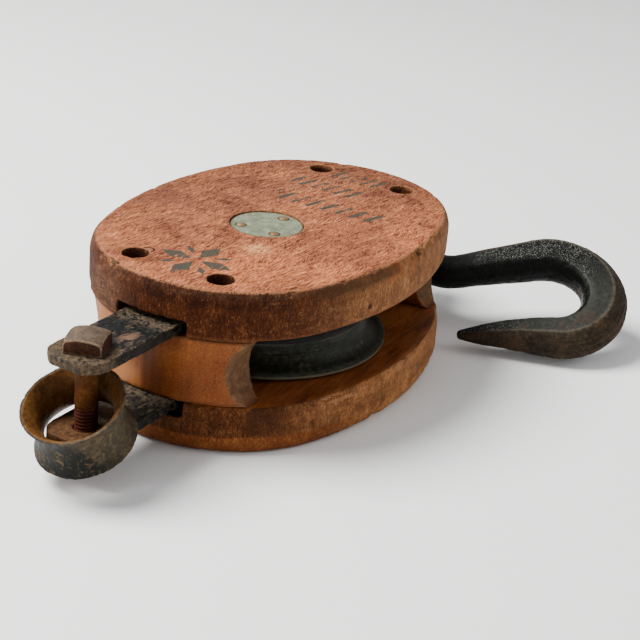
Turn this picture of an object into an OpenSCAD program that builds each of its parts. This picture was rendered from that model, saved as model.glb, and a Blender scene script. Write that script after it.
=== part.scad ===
// Single sheave wooden rope block with an inner iron strap, a loose hook and a becket thimble.
// It lies on its lower cheek: z = 0 is the lower cheek's outer face and the z axis is the sheave pin.
// +X points to the hook end. All sizes are millimetres.

/* [Shell] */
// Length of the wooden shell, end to end
shell_l = 203.2; // [190:0.2:216]
// Width of the wooden shell
shell_w = 144.2; // [138:0.2:156]
// Radius of the two rounded ends of the shell, seen from above
nose_r = 66; // [60:0.5:68]
// Distance from the pin to the middle of the shell, towards the hook
shell_shift = 9.6; // [8:0.1:12]
// Thickness of each cheek
cheek_t = 22.9; // [20:0.1:26]
// Clear height between the two cheeks
mortise_h = 31; // [30:0.1:33]
// How far the rounded outer edge of a cheek comes in
edge_w = 3.7; // [2:0.1:5]
// How far the rounded outer edge of a cheek comes down
edge_h = 7.5; // [4:0.1:10]
// How far the worn inner edge of a cheek comes in at the rope openings
lip_w = 3; // [1:0.1:4]
// How far the worn inner edge of a cheek goes up at the rope openings
lip_h = 5; // [2:0.1:7]

/* [Fillers] */
// Width of the filler block at the becket end
becket_filler_w = 87; // [80:0.5:92]
// Width of the filler block at the hook end
hook_filler_w = 105; // [98:0.5:110]
// Radius from the pin to the becket filler's inner wall
breech_r = 66.5; // [64:0.1:68]
// Thickness of the hook filler on the centre line, between the rope's way and its outer face
hook_filler_t = 26.2; // [24:0.1:28]
// Length of each filler's end face along the shell
filler_face = 8; // [4:0.5:12]
// Angle from the centre line at which the becket filler's inner wall turns out to its end face
breech_flank = 25.6; // [20:0.2:30]
// Angle from the centre line at which the hook filler's inner wall turns out to its end face
swallow_flank = 27; // [20:0.2:30]
// Radius of the rope hollow in each filler end
scoop_r = 18.4; // [17:0.1:24]
// Depth of the rope hollow in each filler end
scoop_depth = 8.5; // [5:0.1:9]
// How far the fillers stand back from the edge of the cheeks
filler_inset = 1; // [0.4:0.1:2]

/* [Sheave] */
// Diameter of the sheave
sheave_d = 120.65; // [112:0.05:123]
// Thickness of the sheave
sheave_t = 28.6; // [26:0.1:29.4]
// Radius of the rope groove's round bottom
groove_r = 12.9; // [11:0.1:13]
// Radius from the pin to the bottom of the groove
groove_bottom_r = 49.3; // [47:0.1:51]
// Inside radius of the sheave's rim
rim_r = 43; // [38:0.5:45]
// Outside radius of the sheave's hub
hub_r = 21; // [18:0.5:24]
// Thickness of the sheave's web
web_t = 12.6; // [8:0.2:16]
// Outside radius of the iron bush
bush_r = 13; // [12:0.1:15]
// Diameter of the centre pin
pin_d = 19; // [16:0.1:22]

/* [Strap] */
// Width of the flat strap legs
strap_w = 28.6; // [25:0.1:31]
// Thickness of the flat strap legs
strap_t = 4.8; // [4:0.1:6]
// Distance from the pin to the free ends of the strap legs
leg_end_x = 146.6; // [145:0.1:146.8]
// Corner radius of the free ends of the strap legs
leg_end_r = 9.5; // [9.5:0.1:12]
// Distance from the pin to the round bar of the crown
crown_x = 126; // [125:0.1:129]
// Diameter of the round bar of the crown
crown_d = 15; // [13:0.1:15.4]
// Bend radius of the crown's two corners
crown_bend = 13; // [10:0.1:14]
// Width of the mouth of the strap slot at both ends of a cheek
slot_mouth_w = 36; // [32:0.2:40]
// Width to which the strap legs narrow where the crown begins
neck_w = 22; // [18:0.1:25]
// Length over which the strap legs narrow
neck_run = 18; // [10:0.5:30]
// Depth of the mouth of the strap slot
slot_mouth_depth = 7.2; // [6:0.1:9]
// Length of the mouth of the strap slot
slot_mouth_l = 12; // [6:0.5:16]

/* [Becket bolt] */
// Distance from the pin to the becket bolt
bolt_x = 132; // [131:0.1:133]
// Diameter of the becket bolt's shank
bolt_d = 10; // [9:0.1:11]
// Width across the flats of the bolt's square head
bolt_head_w = 16.5; // [14:0.1:18]
// Height of the square head at its corners
bolt_head_h = 5; // [4:0.1:7]
// Extra height of the domed top of the head
bolt_dome_h = 3; // [1:0.1:4]
// Turn of the square head
bolt_turn = 22; // [0:1:45]
// Length of the threaded end below the lower leg
bolt_end = 2; // [1:0.1:5]

/* [Fastenings] */
// Distance along the block from the becket filler's inner wall to its rivets
becket_rivet_in = 4.7; // [3.9:0.1:5.5]
// Half distance between the rivets at the becket end
becket_rivet_y = 22.7; // [22:0.1:24]
// Distance along the block from the hook filler's inner wall to its rivets
hook_rivet_in = 4.9; // [4:0.1:6]
// Half distance between the rivets at the hook end
hook_rivet_y = 23.7; // [22:0.1:25]
// Diameter of the shell rivets
rivet_d = 6.4; // [5:0.1:7]
// Diameter of the round rivet heads and of the rings under the far ends
rivet_head_d = 10.8; // [9:0.1:11.2]
// Height of the round rivet heads
rivet_head_h = 2.4; // [1.5:0.1:3]
// Diameter of the sunk holes over the rivets
sunk_d = 11.7; // [11.4:0.1:13]
// Depth of the sunk holes over the rivets
sunk_depth = 8; // [6:0.1:10]
// Thickness of the rings under the far rivet ends
burr_t = 1.4; // [1:0.1:2]
// Radius of the round plates over the pin ends
plate_r = 17.2; // [15:0.1:20]
// Thickness of the round plates
plate_t = 1.6; // [1:0.1:2.4]
// How far the plates lie below the face of the cheek
plate_sink = 0.8; // [0.4:0.1:1.5]
// Directions of the three nails of a plate, counted from +X
plate_nail_angles = [-7, 134, 229];
// Distance from the pin to the nails of a plate
plate_nail_r = 12.4; // [11.9:0.1:13]
// Diameter of the nail heads
nail_head_d = 4.4; // [3.6:0.1:5]
// Diameter of the nails
nail_d = 2.2; // [1.6:0.1:2.6]
// Length of the nails below the plate
nail_l = 12; // [8:0.5:16]

/* [Thimble] */
// Radius of the thimble's two flared rims
thimble_rim_r = 22.5; // [21.8:0.1:23]
// Outside radius of the thimble's waist
thimble_waist_r = 19.5; // [19:0.1:20.2]
// Radius of the thimble's bore at the waist
thimble_bore_r = 15.2; // [15.1:0.1:15.8]
// Thickness of the lip at each rim
thimble_lip = 1.7; // [1.2:0.1:2.4]
// Height of the thimble
thimble_h = 22.5; // [20:0.1:24]
// Lean of the thimble, hung over the end of the lower leg
thimble_tilt = 25; // [23:0.5:26]
// Distance from the pin to the place where the thimble's low rim stands on the edges of the lower leg
thimble_foot_x = 118.4; // [118.3:0.1:118.8]

/* [Hook] */
// Radius of the middle line of the hook's eye
eye_ring_r = 16.5; // [16.2:0.1:17]
// Diameter of the round bar of the eye
eye_bar_d = 13; // [11:0.1:13.2]
// Lean of the hook from level, rising away from the shell
hook_lean = 26.57; // [24:0.1:28]
// Rise of the hook's plane towards the crown
hook_fall = 10.05; // [9.6:0.05:10.1]
// Height of the middle of the eye above the middle of the crown
eye_lift = 0; // [-0.4:0.1:0.4]
// Direction in which the neck leaves the eye
neck_angle = -24; // [-30:1:-16]
// Length of the neck before the shank bends out
neck_l = 11; // [8:0.5:14]
// Bend radius of the shank's knee
knee_r = 21.3; // [18:0.1:25]
// Direction of the straight back of the hook
back_angle = 40.5; // [36:0.5:44]
// Length of the straight back of the hook
back_l = 40.3; // [34:0.1:43]
// Bend radius of the upper part of the bowl
bowl_r = 28.4; // [26:0.1:31]
// Bend radius of the lower part of the bowl
heel_r = 24; // [22:0.1:27]
// Direction in which the point leaves the bowl
point_angle = -158.6; // [-164:0.2:-152]
// Length of the point
point_l = 47.6; // [46:0.1:54]
// Outward curl of the point
point_curl = 8.2; // [4:0.2:12]
// Diameter of the hook's neck
neck_d = 17.4; // [15:0.1:19]
// Diameter of the hook at the bowl
bowl_d = 23.9; // [22:0.1:25]
// Diameter of the hook's tip
tip_d = 5.4; // [4:0.1:7]
// How late the point thins: 1 is an even taper, a higher value keeps it thick nearer to the tip
tip_late = 2.3; // [1:0.1:2.8]
// Length of the shank over which it starts to swell towards the bowl, before the quarter of its back
swell_run = 12; // [6:1:16]
// Thickness of the bowl across its two flattened faces, as a share of its width
bowl_flat = 0.82; // [0.78:0.01:0.92]

/* [Clearances] */
// Gap between wood and iron pieces that lie against each other
seat_gap = 0.2; // [0.1:0.05:0.3]
// Width of the joint line between a cheek and a filler
seam = 0.15; // [0.1:0.05:0.3]
// Running gap of the bush on the pin, all round
pin_gap = 0.06; // [0.02:0.01:0.1]
// Gap of a hole round a fixed pin, rivet or bolt, all round
hole_gap = 0.15; // [0.1:0.05:0.3]
// Gap under a loose piece that stands on another piece
stand_gap = 0.3; // [0.2:0.05:0.4]

/* [Hidden] */
$fn = 96;
total_h = 2 * cheek_t + mortise_h;
mid_z = total_h / 2;
low_in = cheek_t;
up_in = cheek_t + mortise_h;
half_l = shell_l / 2;
half_w = shell_w / 2;
nose_x = half_l - nose_r;
side_r = (nose_x * nose_x + half_w * half_w - nose_r * nose_r) / (2 * (half_w - nose_r));
side_y = side_r - half_w;
join_x = nose_x + nose_r * nose_x / sqrt(nose_x * nose_x + side_y * side_y);
swallow_r = half_l + shell_shift - filler_inset - hook_filler_t;
becket_rivet_x = breech_r + becket_rivet_in;
hook_rivet_x = swallow_r + hook_rivet_in;
leg_low_z = low_in - strap_t;
plate_low = plate_sink;
pin_low = plate_sink + plate_t + seat_gap;
tiny = 0.01;
over = 4;
reach = 2 * shell_l;

// The shell's oval, made of four arcs that meet smoothly

// The oval seen from above, drawn in by a given amount
module oval(inset) {
    translate([shell_shift, 0]) {
        intersection() {
            translate([0, -side_y]) circle(r = side_r - inset, $fn = 240);
            translate([0, side_y]) circle(r = side_r - inset, $fn = 240);
            square([2 * join_x, shell_w], center = true);
        }
        for (s = [-1, 1]) translate([s * nose_x, 0]) circle(r = nose_r - inset, $fn = 160);
    }
}

// Half profile of a disc of radius r and height h whose upper edge is rounded
function edge_points(r, h, w, d) = [for (a = [0:18:90]) [r - w * (1 - cos(a)), h - d + d * sin(a)]];

module rounded_disc(r, h, w, d, n) {
    rotate_extrude($fn = n) polygon(concat([[0, 0], [r, 0]], edge_points(r, h, w, d), [[0, h]]));
}

// The oval as a solid of height h with its upper edge rounded
module oval_solid(h, w, d) {
    translate([shell_shift, 0, 0]) {
        intersection() {
            translate([0, -side_y, 0]) rounded_disc(side_r, h, w, d, 240);
            translate([0, side_y, 0]) rounded_disc(side_r, h, w, d, 240);
            translate([-join_x, -shell_w, -1]) cube([2 * join_x, 2 * shell_w, h + 2]);
        }
        for (s = [-1, 1]) translate([s * nose_x, 0, 0]) rounded_disc(nose_r, h, w, d, 160);
    }
}

// The fillers' plan

becket_y = becket_filler_w / 2;
hook_y = hook_filler_w / 2;
// Where the flat side of a filler meets the edge of the shell, on the rounded end
becket_tip_x = nose_x + sqrt(pow(nose_r - filler_inset, 2) - becket_y * becket_y) - shell_shift;
hook_tip_x = nose_x + sqrt(pow(nose_r - filler_inset, 2) - hook_y * hook_y) + shell_shift;

// The open space inside the shell at one end, up to a filler's inner wall
module inner_space(r, flank, face_x, y) {
    circle(r = r, $fn = 160);
    polygon([[0, -y - 1], [face_x, -y - 1], [face_x, -y], [r * cos(flank), -r * sin(flank)],
        [r * cos(flank), r * sin(flank)], [face_x, y], [face_x, y + 1], [0, y + 1]]);
}

module rope_scoop(y) {
    for (s = [-1, 1]) translate([0, s * (y - scoop_depth + scoop_r), mid_z])
        rotate([0, 90, 0]) cylinder(r = scoop_r, h = reach, center = true, $fn = 96);
}

module rivet_holes(x, y, r, z0, h) {
    for (s = [-1, 1]) translate([x, s * y, z0]) cylinder(r = r, h = h, $fn = 48);
}

module becket_filler() {
    color([0.70, 0.42, 0.24]) difference() {
        translate([0, 0, low_in + seam]) linear_extrude(height = mortise_h - 2 * seam) difference() {
            intersection() {
                oval(filler_inset);
                translate([-reach, -becket_y]) square([reach, becket_filler_w]);
            }
            mirror([1, 0]) inner_space(breech_r, breech_flank, becket_tip_x - filler_face, becket_y);
        }
        rope_scoop(becket_y);
        rivet_holes(-becket_rivet_x, becket_rivet_y, rivet_d / 2 + hole_gap, low_in - 1, mortise_h + 2);
    }
}

// The pocket lets the eye of the hook swing round the crown of the strap
eye_reach = eye_ring_r + eye_bar_d / 2;
pocket_gap = 2;

module hook_filler() {
    color([0.66, 0.39, 0.22]) difference() {
        translate([0, 0, low_in + seam]) linear_extrude(height = mortise_h - 2 * seam) difference() {
            intersection() {
                oval(filler_inset);
                translate([0, -hook_y]) square([reach, hook_filler_w]);
            }
            inner_space(swallow_r, swallow_flank, hook_tip_x - filler_face, hook_y);
            translate([crown_x, 0]) circle(r = eye_reach + pocket_gap, $fn = 120);
        }
        rope_scoop(hook_y);
        rivet_holes(hook_rivet_x, hook_rivet_y, rivet_d / 2 + hole_gap, low_in - 1, mortise_h + 2);
    }
}

// The cheeks

// The slot that a strap leg is let into, open towards the middle of the block
module strap_slot() {
    depth = strap_t + seat_gap;
    width = strap_w + 2 * seat_gap;
    translate([-reach / 2, -width / 2, low_in - depth]) cube([reach, width, depth + 1]);
    for (s = [-1, 1]) translate([shell_shift + s * half_l, 0, low_in - slot_mouth_depth / 2 + 0.5])
        cube([2 * slot_mouth_l, slot_mouth_w, slot_mouth_depth + 1], center = true);
}

// Rounds the inner edge between the two fillers, where the rope runs in and out
module lip_cut() {
    intersection() {
        translate([-becket_tip_x, -shell_w, low_in - lip_h - 1])
            cube([becket_tip_x + hook_tip_x, 2 * shell_w, lip_h + 2]);
        difference() {
            translate([-reach / 2, -shell_w, 0]) cube([reach, 2 * shell_w, low_in + 2]);
            oval_solid(low_in, lip_w, lip_h);
            translate([0, 0, -1]) cylinder(r = sheave_d / 2, h = low_in + over);
        }
    }
}

// One cheek lying with its outer face on z = 0
module cheek() {
    difference() {
        translate([0, 0, cheek_t]) mirror([0, 0, 1]) oval_solid(cheek_t, edge_w, edge_h);
        lip_cut();
        strap_slot();
        translate([0, 0, -1]) cylinder(r = pin_d / 2 + hole_gap, h = cheek_t + 2, $fn = 72);
        translate([0, 0, -1]) cylinder(r = plate_r + seat_gap, h = plate_sink + plate_t + 1);
        for (a = plate_nail_angles) rotate([0, 0, a]) translate([plate_nail_r, 0, 0])
            cylinder(r = nail_d / 2 + hole_gap / 2, h = plate_sink + plate_t + nail_l + seat_gap, $fn = 24);
        rivet_holes(-becket_rivet_x, becket_rivet_y, rivet_d / 2 + hole_gap, -1, cheek_t + 2);
        rivet_holes(hook_rivet_x, hook_rivet_y, rivet_d / 2 + hole_gap, -1, cheek_t + 2);
        rivet_holes(-becket_rivet_x, becket_rivet_y, sunk_d / 2, -1, sunk_depth + 1);
        rivet_holes(hook_rivet_x, hook_rivet_y, sunk_d / 2, -1, sunk_depth + 1);
    }
}

module upside() {
    translate([0, 0, total_h]) mirror([0, 0, 1]) children();
}

module lower_cheek() {
    color([0.52, 0.30, 0.20]) cheek();
}

module upper_cheek() {
    color([0.60, 0.36, 0.27]) upside() cheek();
}

// Pin, plates and nails

module centre_pin() {
    r = pin_d / 2;
    h = total_h - 2 * pin_low;
    color([0.45, 0.43, 0.40]) translate([0, 0, pin_low]) rotate_extrude()
        polygon([[0, 0], [r - 1, 0], [r, 1], [r, h - 1], [r - 1, h], [0, h]]);
}

module plate() {
    difference() {
        translate([0, 0, plate_low]) rotate_extrude()
            polygon([[0, 0], [plate_r - 0.5, 0], [plate_r, 0.5], [plate_r, plate_t], [0, plate_t]]);
        for (a = plate_nail_angles) rotate([0, 0, a]) translate([plate_nail_r, 0, -1])
            cylinder(r = nail_d / 2 + hole_gap / 2, h = plate_t + plate_low + 2, $fn = 24);
    }
}

// A nail with a low domed head, driven up from below
module nail() {
    hr = nail_head_d / 2;
    dome = (hr * hr + 0.49) / 1.4;
    z = plate_low - tiny * 5;
    intersection() {
        translate([0, 0, z - 0.7 + dome]) sphere(r = dome, $fn = 48);
        translate([0, 0, z - 2]) cylinder(r = hr, h = 2, $fn = 32);
    }
    translate([0, 0, z - 0.2]) cylinder(r = nail_d / 2, h = plate_t + nail_l - 2, $fn = 24);
    translate([0, 0, z - 0.2 + plate_t + nail_l - 2]) cylinder(r1 = nail_d / 2, r2 = 0.3, h = 2, $fn = 24);
}

module plate_nails() {
    for (a = plate_nail_angles) rotate([0, 0, a]) translate([plate_nail_r, 0, 0]) nail();
}

module lower_pin_plate() {
    color([0.62, 0.65, 0.60]) plate();
}

module upper_pin_plate() {
    color([0.62, 0.65, 0.60]) upside() plate();
}

module lower_plate_nails() {
    color([0.72, 0.47, 0.30]) plate_nails();
}

module upper_plate_nails() {
    color([0.72, 0.47, 0.30]) upside() plate_nails();
}

// Rivets through both cheeks and the fillers

burr_low = sunk_depth - seat_gap - burr_t;
tail_h = 1.3;

module rivet() {
    r = rivet_d / 2;
    hr = rivet_head_d / 2;
    top = total_h - sunk_depth + seat_gap;
    low = burr_low - seat_gap / 2;
    head_pts = [for (a = [0:18:90]) [hr * cos(a), top + rivet_head_h * sin(a)]];
    tail_pts = [for (a = [90:-18:0]) [(r + 1) * cos(a), low - tail_h * sin(a)]];
    rotate_extrude($fn = 48) polygon(concat(tail_pts, [[r, low], [r, top]], head_pts));
}

module burr() {
    translate([0, 0, burr_low]) difference() {
        cylinder(r = rivet_head_d / 2, h = burr_t, $fn = 48);
        translate([0, 0, -1]) cylinder(r = rivet_d / 2 + hole_gap, h = burr_t + 2, $fn = 48);
    }
}

module at_rivets() {
    for (s = [-1, 1]) {
        translate([-becket_rivet_x, s * becket_rivet_y, 0]) children();
        translate([hook_rivet_x, s * hook_rivet_y, 0]) children();
    }
}

module shell_rivets() {
    color([0.42, 0.30, 0.22]) at_rivets() rivet();
}

module rivet_burrs() {
    color([0.45, 0.36, 0.28]) at_rivets() burr();
}

// The sheave and its bush

module sheave() {
    r = sheave_d / 2;
    h = sheave_t / 2;
    w = web_t / 2;
    color([0.13, 0.13, 0.13]) translate([0, 0, mid_z]) rotate_extrude() difference() {
        polygon([[bush_r + pin_gap, -h], [hub_r, -h], [hub_r + 2, -w], [rim_r - 2, -w], [rim_r, -h],
            [r - 0.6, -h], [r, -h + 0.6], [r, h - 0.6], [r - 0.6, h], [rim_r, h], [rim_r - 2, w],
            [hub_r + 2, w], [hub_r, h], [bush_r + pin_gap, h]]);
        translate([groove_bottom_r + groove_r, 0]) circle(r = groove_r, $fn = 96);
    }
}

module sheave_bush() {
    h = mortise_h - 2 * seat_gap - 0.2;
    color([0.35, 0.34, 0.33]) translate([0, 0, mid_z - h / 2]) difference() {
        cylinder(r = bush_r, h = h);
        translate([0, 0, -1]) cylinder(r = pin_d / 2 + pin_gap, h = h + 2);
    }
}

// The strap: two flat legs and a round crown, forged as one U

crown_start_x = crown_x - crown_bend;

// One flat leg with rounded free corners, seen from above
module leg_plan() {
    w = strap_w / 2;
    run_x = crown_start_x - neck_run;
    translate([-leg_end_x + leg_end_r, -w]) square([leg_end_x - leg_end_r + run_x, strap_w]);
    n = neck_w / 2;
    polygon([[run_x - 1, -w], [run_x, -w], [crown_start_x, -n], [crown_start_x, n], [run_x, w], [run_x - 1, w]]);
    translate([-leg_end_x, -w + leg_end_r]) square([leg_end_r + 1, strap_w - 2 * leg_end_r]);
    for (s = [-1, 1]) translate([-leg_end_x + leg_end_r, s * (w - leg_end_r)]) circle(r = leg_end_r, $fn = 64);
}

// Cross-section points of the corner: from the flat leg (k = 0) to the round bar (k = 1)
corner_sides = 36;
// The corner's ends are slightly smaller than the leg and the bar that they go into
corner_skin = 0.05;
function sgn(v) = v < 0 ? -1 : 1;
function smooth(k) = k * k * (3 - 2 * k);
function corner_ring(k) = let(
        e = smooth(k),
        f = smooth(min(1, 1.7 * k)),
        hw = neck_w / 2 * (1 - f) + crown_d / 2 * f - corner_skin,
        ht = strap_t / 2 * (1 - e) + crown_d / 2 * e - corner_skin,
        p = 0.12 + 0.88 * f
    ) [for (i = [0:corner_sides - 1]) let(a = 360 * (i + 0.5) / corner_sides)
        [ht * sgn(cos(a)) * pow(abs(cos(a)), p), hw * sgn(sin(a)) * pow(abs(sin(a)), p)]];

// The lower corner bends the leg up into the bar. Both its ends run straight on, inside the leg and the bar
module crown_corner() {
    steps = 12;
    run_in = 1;
    z0 = low_in - strap_t / 2;
    pts = [for (j = [-1:steps + 1]) let(
            k = max(0, min(1, j / steps)),
            a = 90 * k,
            cx = crown_start_x + crown_bend * sin(a) - (j < 0 ? run_in : 0),
            cz = z0 + crown_bend * (1 - cos(a)) + (j > steps ? run_in : 0)
        ) for (q = corner_ring(k)) [cx + q[0] * sin(a), q[1], cz - q[0] * cos(a)]];
    n = corner_sides;
    rows = steps + 2;
    sides = [for (j = [0:rows - 1], i = [0:n - 1]) let(i2 = (i + 1) % n)
        for (f = [[j * n + i, (j + 1) * n + i, (j + 1) * n + i2], [j * n + i, (j + 1) * n + i2, j * n + i2]]) f];
    cap0 = [for (i = [1:n - 2]) [0, i, i + 1]];
    last = rows * n;
    cap1 = [for (i = [1:n - 2]) [last, last + i + 1, last + i]];
    polyhedron(points = pts, faces = concat(sides, cap0, cap1), convexity = 4);
}

bar_low = low_in - strap_t / 2 + crown_bend;

module strap() {
    color([0.16, 0.15, 0.14]) difference() {
        union() {
            translate([0, 0, leg_low_z]) linear_extrude(height = strap_t) leg_plan();
            translate([0, 0, up_in]) linear_extrude(height = strap_t) leg_plan();
            crown_corner();
            upside() crown_corner();
            translate([crown_x, 0, bar_low]) cylinder(r = crown_d / 2, h = total_h - 2 * bar_low);
        }
        translate([0, 0, leg_low_z - 1]) cylinder(r = pin_d / 2 + hole_gap, h = total_h, $fn = 72);
        translate([-bolt_x, 0, leg_low_z - 1]) cylinder(r = bolt_d / 2 + hole_gap, h = total_h, $fn = 48);
    }
}

// Becket bolt

module becket_bolt() {
    seat = up_in + strap_t + seat_gap / 2;
    corner = bolt_head_w / sqrt(2);
    dome = (corner * corner + bolt_dome_h * bolt_dome_h) / (2 * bolt_dome_h);
    top = seat + bolt_head_h + bolt_dome_h;
    low = leg_low_z - bolt_end;
    color([0.40, 0.28, 0.20]) translate([-bolt_x, 0, 0]) {
        intersection() {
            rotate([0, 0, bolt_turn]) translate([-bolt_head_w / 2, -bolt_head_w / 2, seat])
                cube([bolt_head_w, bolt_head_w, bolt_head_h + bolt_dome_h + 1]);
            translate([0, 0, top - dome]) sphere(r = dome, $fn = 120);
        }
        translate([0, 0, low + 1]) cylinder(r = bolt_d / 2, h = seat - low, $fn = 64);
        translate([0, 0, low]) cylinder(r1 = bolt_d / 2 - 1, r2 = bolt_d / 2, h = 1, $fn = 64);
    }
}

// Thimble: a spool shaped ring, flared inside and out

// Flare from 0 at the waist to 1 at a rim
function flare(t) = pow(abs(2 * t - 1), 2.2);
thimble_out = [for (t = [0:1 / 14:1.0001])
    [thimble_waist_r + (thimble_rim_r - thimble_waist_r) * flare(t), t * thimble_h]];
thimble_in = [for (t = [1:-1 / 14:-0.0001]) [thimble_bore_r
    + (thimble_rim_r - thimble_lip - thimble_bore_r) * flare(t), t * thimble_h]];

// The low rim straddles the leg: its inner lip meets the leg's two upper edges here, measured from its axis
thimble_foot = sqrt(pow(thimble_rim_r - thimble_lip - stand_gap, 2) - pow(strap_w / 2, 2));

module thimble() {
    color([0.20, 0.17, 0.14]) translate([-thimble_foot_x, 0, low_in + stand_gap]) rotate([0, -thimble_tilt, 0])
        translate([-thimble_foot, 0, 0]) rotate_extrude($fn = 96) polygon(concat(thimble_out, thimble_in));
}

// Hook: a round eye, and a shank, bowl and point swept along arcs

// Each step of the path: length, direction at its start, direction at its end
hook_steps = [
    [neck_l, neck_angle, neck_angle],
    [knee_r * (back_angle - neck_angle) * PI / 180, neck_angle, back_angle],
    [back_l, back_angle, back_angle],
    [bowl_r * (back_angle + 90) * PI / 180, back_angle, -90],
    [heel_r * (-90 - point_angle) * PI / 180, -90, point_angle],
    [point_l, point_angle, point_angle + point_curl]];
hook_parts = [2, 8, 6, 14, 8, 12];
hook_start = [eye_ring_r * sin(neck_angle), eye_ring_r * cos(neck_angle)];
// Length of the path up to the start of a step
function sum_to(n) = n <= 0 ? 0 : hook_steps[n - 1][0] + sum_to(n - 1);
hook_len = sum_to(6);

// Points of the path as [sideways, away from the eye, direction, distance along the path]
function walk(s, i, p, d) = s > 5 ? [concat(p, [hook_steps[5][2], d])] :
    let(
        st = hook_steps[s],
        n = hook_parts[s],
        dl = st[0] / n,
        h0 = st[1] + (st[2] - st[1]) * i / n,
        h = st[1] + (st[2] - st[1]) * (i + 0.5) / n,
        q = [p[0] + dl * sin(h), p[1] + dl * cos(h)]
    ) concat([concat(p, [h0, d])], i + 1 < n ? walk(s, i + 1, q, d + dl) : walk(s + 1, 0, q, d + dl));
hook_path = walk(0, 0, hook_start, 0);

function ease(v) = let(c = max(0, min(1, v))) c * c * (3 - 2 * c);
bowl_from = sum_to(2) + back_l * 0.25;
swell_from = bowl_from - swell_run;
bowl_full = sum_to(3) + 10;
taper_from = sum_to(4);
// Radius of the hook at a distance along its path
function hook_r(d) = d < bowl_full
    ? neck_d / 2 + (bowl_d - neck_d) / 2 * ease((d - swell_from) / (bowl_full - swell_from))
    : d < taper_from ? bowl_d / 2
    : bowl_d / 2 + (tip_d - bowl_d) / 2 * pow((d - taper_from) / (hook_len - taper_from), tip_late);

hook_sides = 24;
neck_flat = 0.94;
// Half thickness of the shank as a share of its radius: the bowl and the point have flattened faces
function hook_flat(d) = neck_flat + (bowl_flat - neck_flat) * ease((d - bowl_from) / (bowl_full - bowl_from));
// A forged section, flattened on the two faces that lie in the plane of the hook
function hook_ring(p, shrink, push) = let(r = hook_r(p[3]) * shrink, f = hook_flat(p[3]))
    [for (i = [0:hook_sides - 1]) let(
            a = 360 * (i + 0.5) / hook_sides,
            u = r * 1.02 * sgn(cos(a)) * pow(abs(cos(a)), 0.88),
            v = r * sgn(sin(a)) * min(f, neck_flat * pow(abs(sin(a)), 0.82))
        ) [p[0] + u * cos(p[2]) + push * sin(p[2]), p[1] - u * sin(p[2]) + push * cos(p[2]), v]];

module hook_bar() {
    m = len(hook_path) - 1;
    tip = hook_path[m];
    rings = concat([for (p = hook_path) hook_ring(p, 1, 0)],
        [hook_ring(tip, 0.86, tip_d * 0.25), hook_ring(tip, 0.5, tip_d * 0.42)]);
    n = hook_sides;
    rows = len(rings);
    pts = [for (r = rings) for (q = r) q];
    sides = [for (j = [0:rows - 2], i = [0:n - 1]) let(i2 = (i + 1) % n)
        for (f = [[j * n + i, (j + 1) * n + i2, (j + 1) * n + i], [j * n + i, j * n + i2, (j + 1) * n + i2]]) f];
    cap0 = [for (i = [1:n - 2]) [0, i + 1, i]];
    last = (rows - 1) * n;
    cap1 = [for (i = [1:n - 2]) [last, last + i, last + i + 1]];
    polyhedron(points = pts, faces = concat(sides, cap0, cap1), convexity = 8);
}

eye_z = mid_z + eye_lift;
// The hook's own axes: x sideways, y away from the eye, z out of its plane
hook_side = [cos(hook_lean), 0, sin(hook_lean)];
hook_away_flat = [0, -1, -tan(hook_fall)];
function cross3(a, b) = [a[1] * b[2] - a[2] * b[1], a[2] * b[0] - a[0] * b[2], a[0] * b[1] - a[1] * b[0]];
hook_up_raw = cross3(hook_side, hook_away_flat);
hook_up = -hook_up_raw / norm(hook_up_raw);
hook_away = cross3(hook_side, hook_up);

module hook() {
    m = [[hook_side[0], -hook_away[0], hook_up[0], crown_x],
        [hook_side[1], -hook_away[1], hook_up[1], 0],
        [hook_side[2], -hook_away[2], hook_up[2], eye_z],
        [0, 0, 0, 1]];
    color([0.12, 0.12, 0.12]) multmatrix(m) {
        rotate_extrude() translate([eye_ring_r, 0]) circle(r = eye_bar_d / 2, $fn = 64);
        mirror([0, 1, 0]) hook_bar();
    }
}

upper_cheek();
lower_cheek();
becket_filler();
hook_filler();
strap();
centre_pin();
sheave();
sheave_bush();
upper_pin_plate();
lower_pin_plate();
upper_plate_nails();
lower_plate_nails();
shell_rivets();
rivet_burrs();
becket_bolt();
thimble();
hook();
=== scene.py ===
import math

import bmesh
import bpy
import numpy as np
from mathutils import Matrix, Vector


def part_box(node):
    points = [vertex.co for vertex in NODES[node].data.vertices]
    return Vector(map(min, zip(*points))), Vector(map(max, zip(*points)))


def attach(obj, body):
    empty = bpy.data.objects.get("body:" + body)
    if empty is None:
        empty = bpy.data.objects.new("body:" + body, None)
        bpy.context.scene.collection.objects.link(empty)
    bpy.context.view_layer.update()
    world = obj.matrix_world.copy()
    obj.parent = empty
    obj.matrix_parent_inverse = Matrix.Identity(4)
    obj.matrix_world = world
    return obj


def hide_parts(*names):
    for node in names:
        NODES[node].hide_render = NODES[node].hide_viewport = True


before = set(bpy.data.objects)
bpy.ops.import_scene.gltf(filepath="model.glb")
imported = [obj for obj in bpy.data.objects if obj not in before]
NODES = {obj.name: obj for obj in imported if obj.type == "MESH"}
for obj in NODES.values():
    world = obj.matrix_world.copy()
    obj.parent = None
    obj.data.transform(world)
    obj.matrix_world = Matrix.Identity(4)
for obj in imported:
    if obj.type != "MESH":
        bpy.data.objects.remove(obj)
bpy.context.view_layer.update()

MM = 0.001

# Sizes of the object, in millimetres and degrees. TOP_Z is the upper cheek's outer face, LOW_IN and UP_IN
# are the cheeks' inner faces, and SHELL_MID is the middle of the shell's length
TOP_Z = 76.8
LOW_IN = 22.9
UP_IN = 53.9
SHELL_MID = 9.6
HALF_L = 101.6
HALF_W = 72.1
HOLES = [(-71.2, 22.7), (-71.2, -22.7), (88.9, 23.7), (88.9, -23.7)]
SHEAVE_R = 60.3
PLATE_R = 17.2
NAIL_CIRCLE, NAIL_ANGLES = 12.4, (-7, 134, 229)
THIMBLE_TILT = 25

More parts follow.
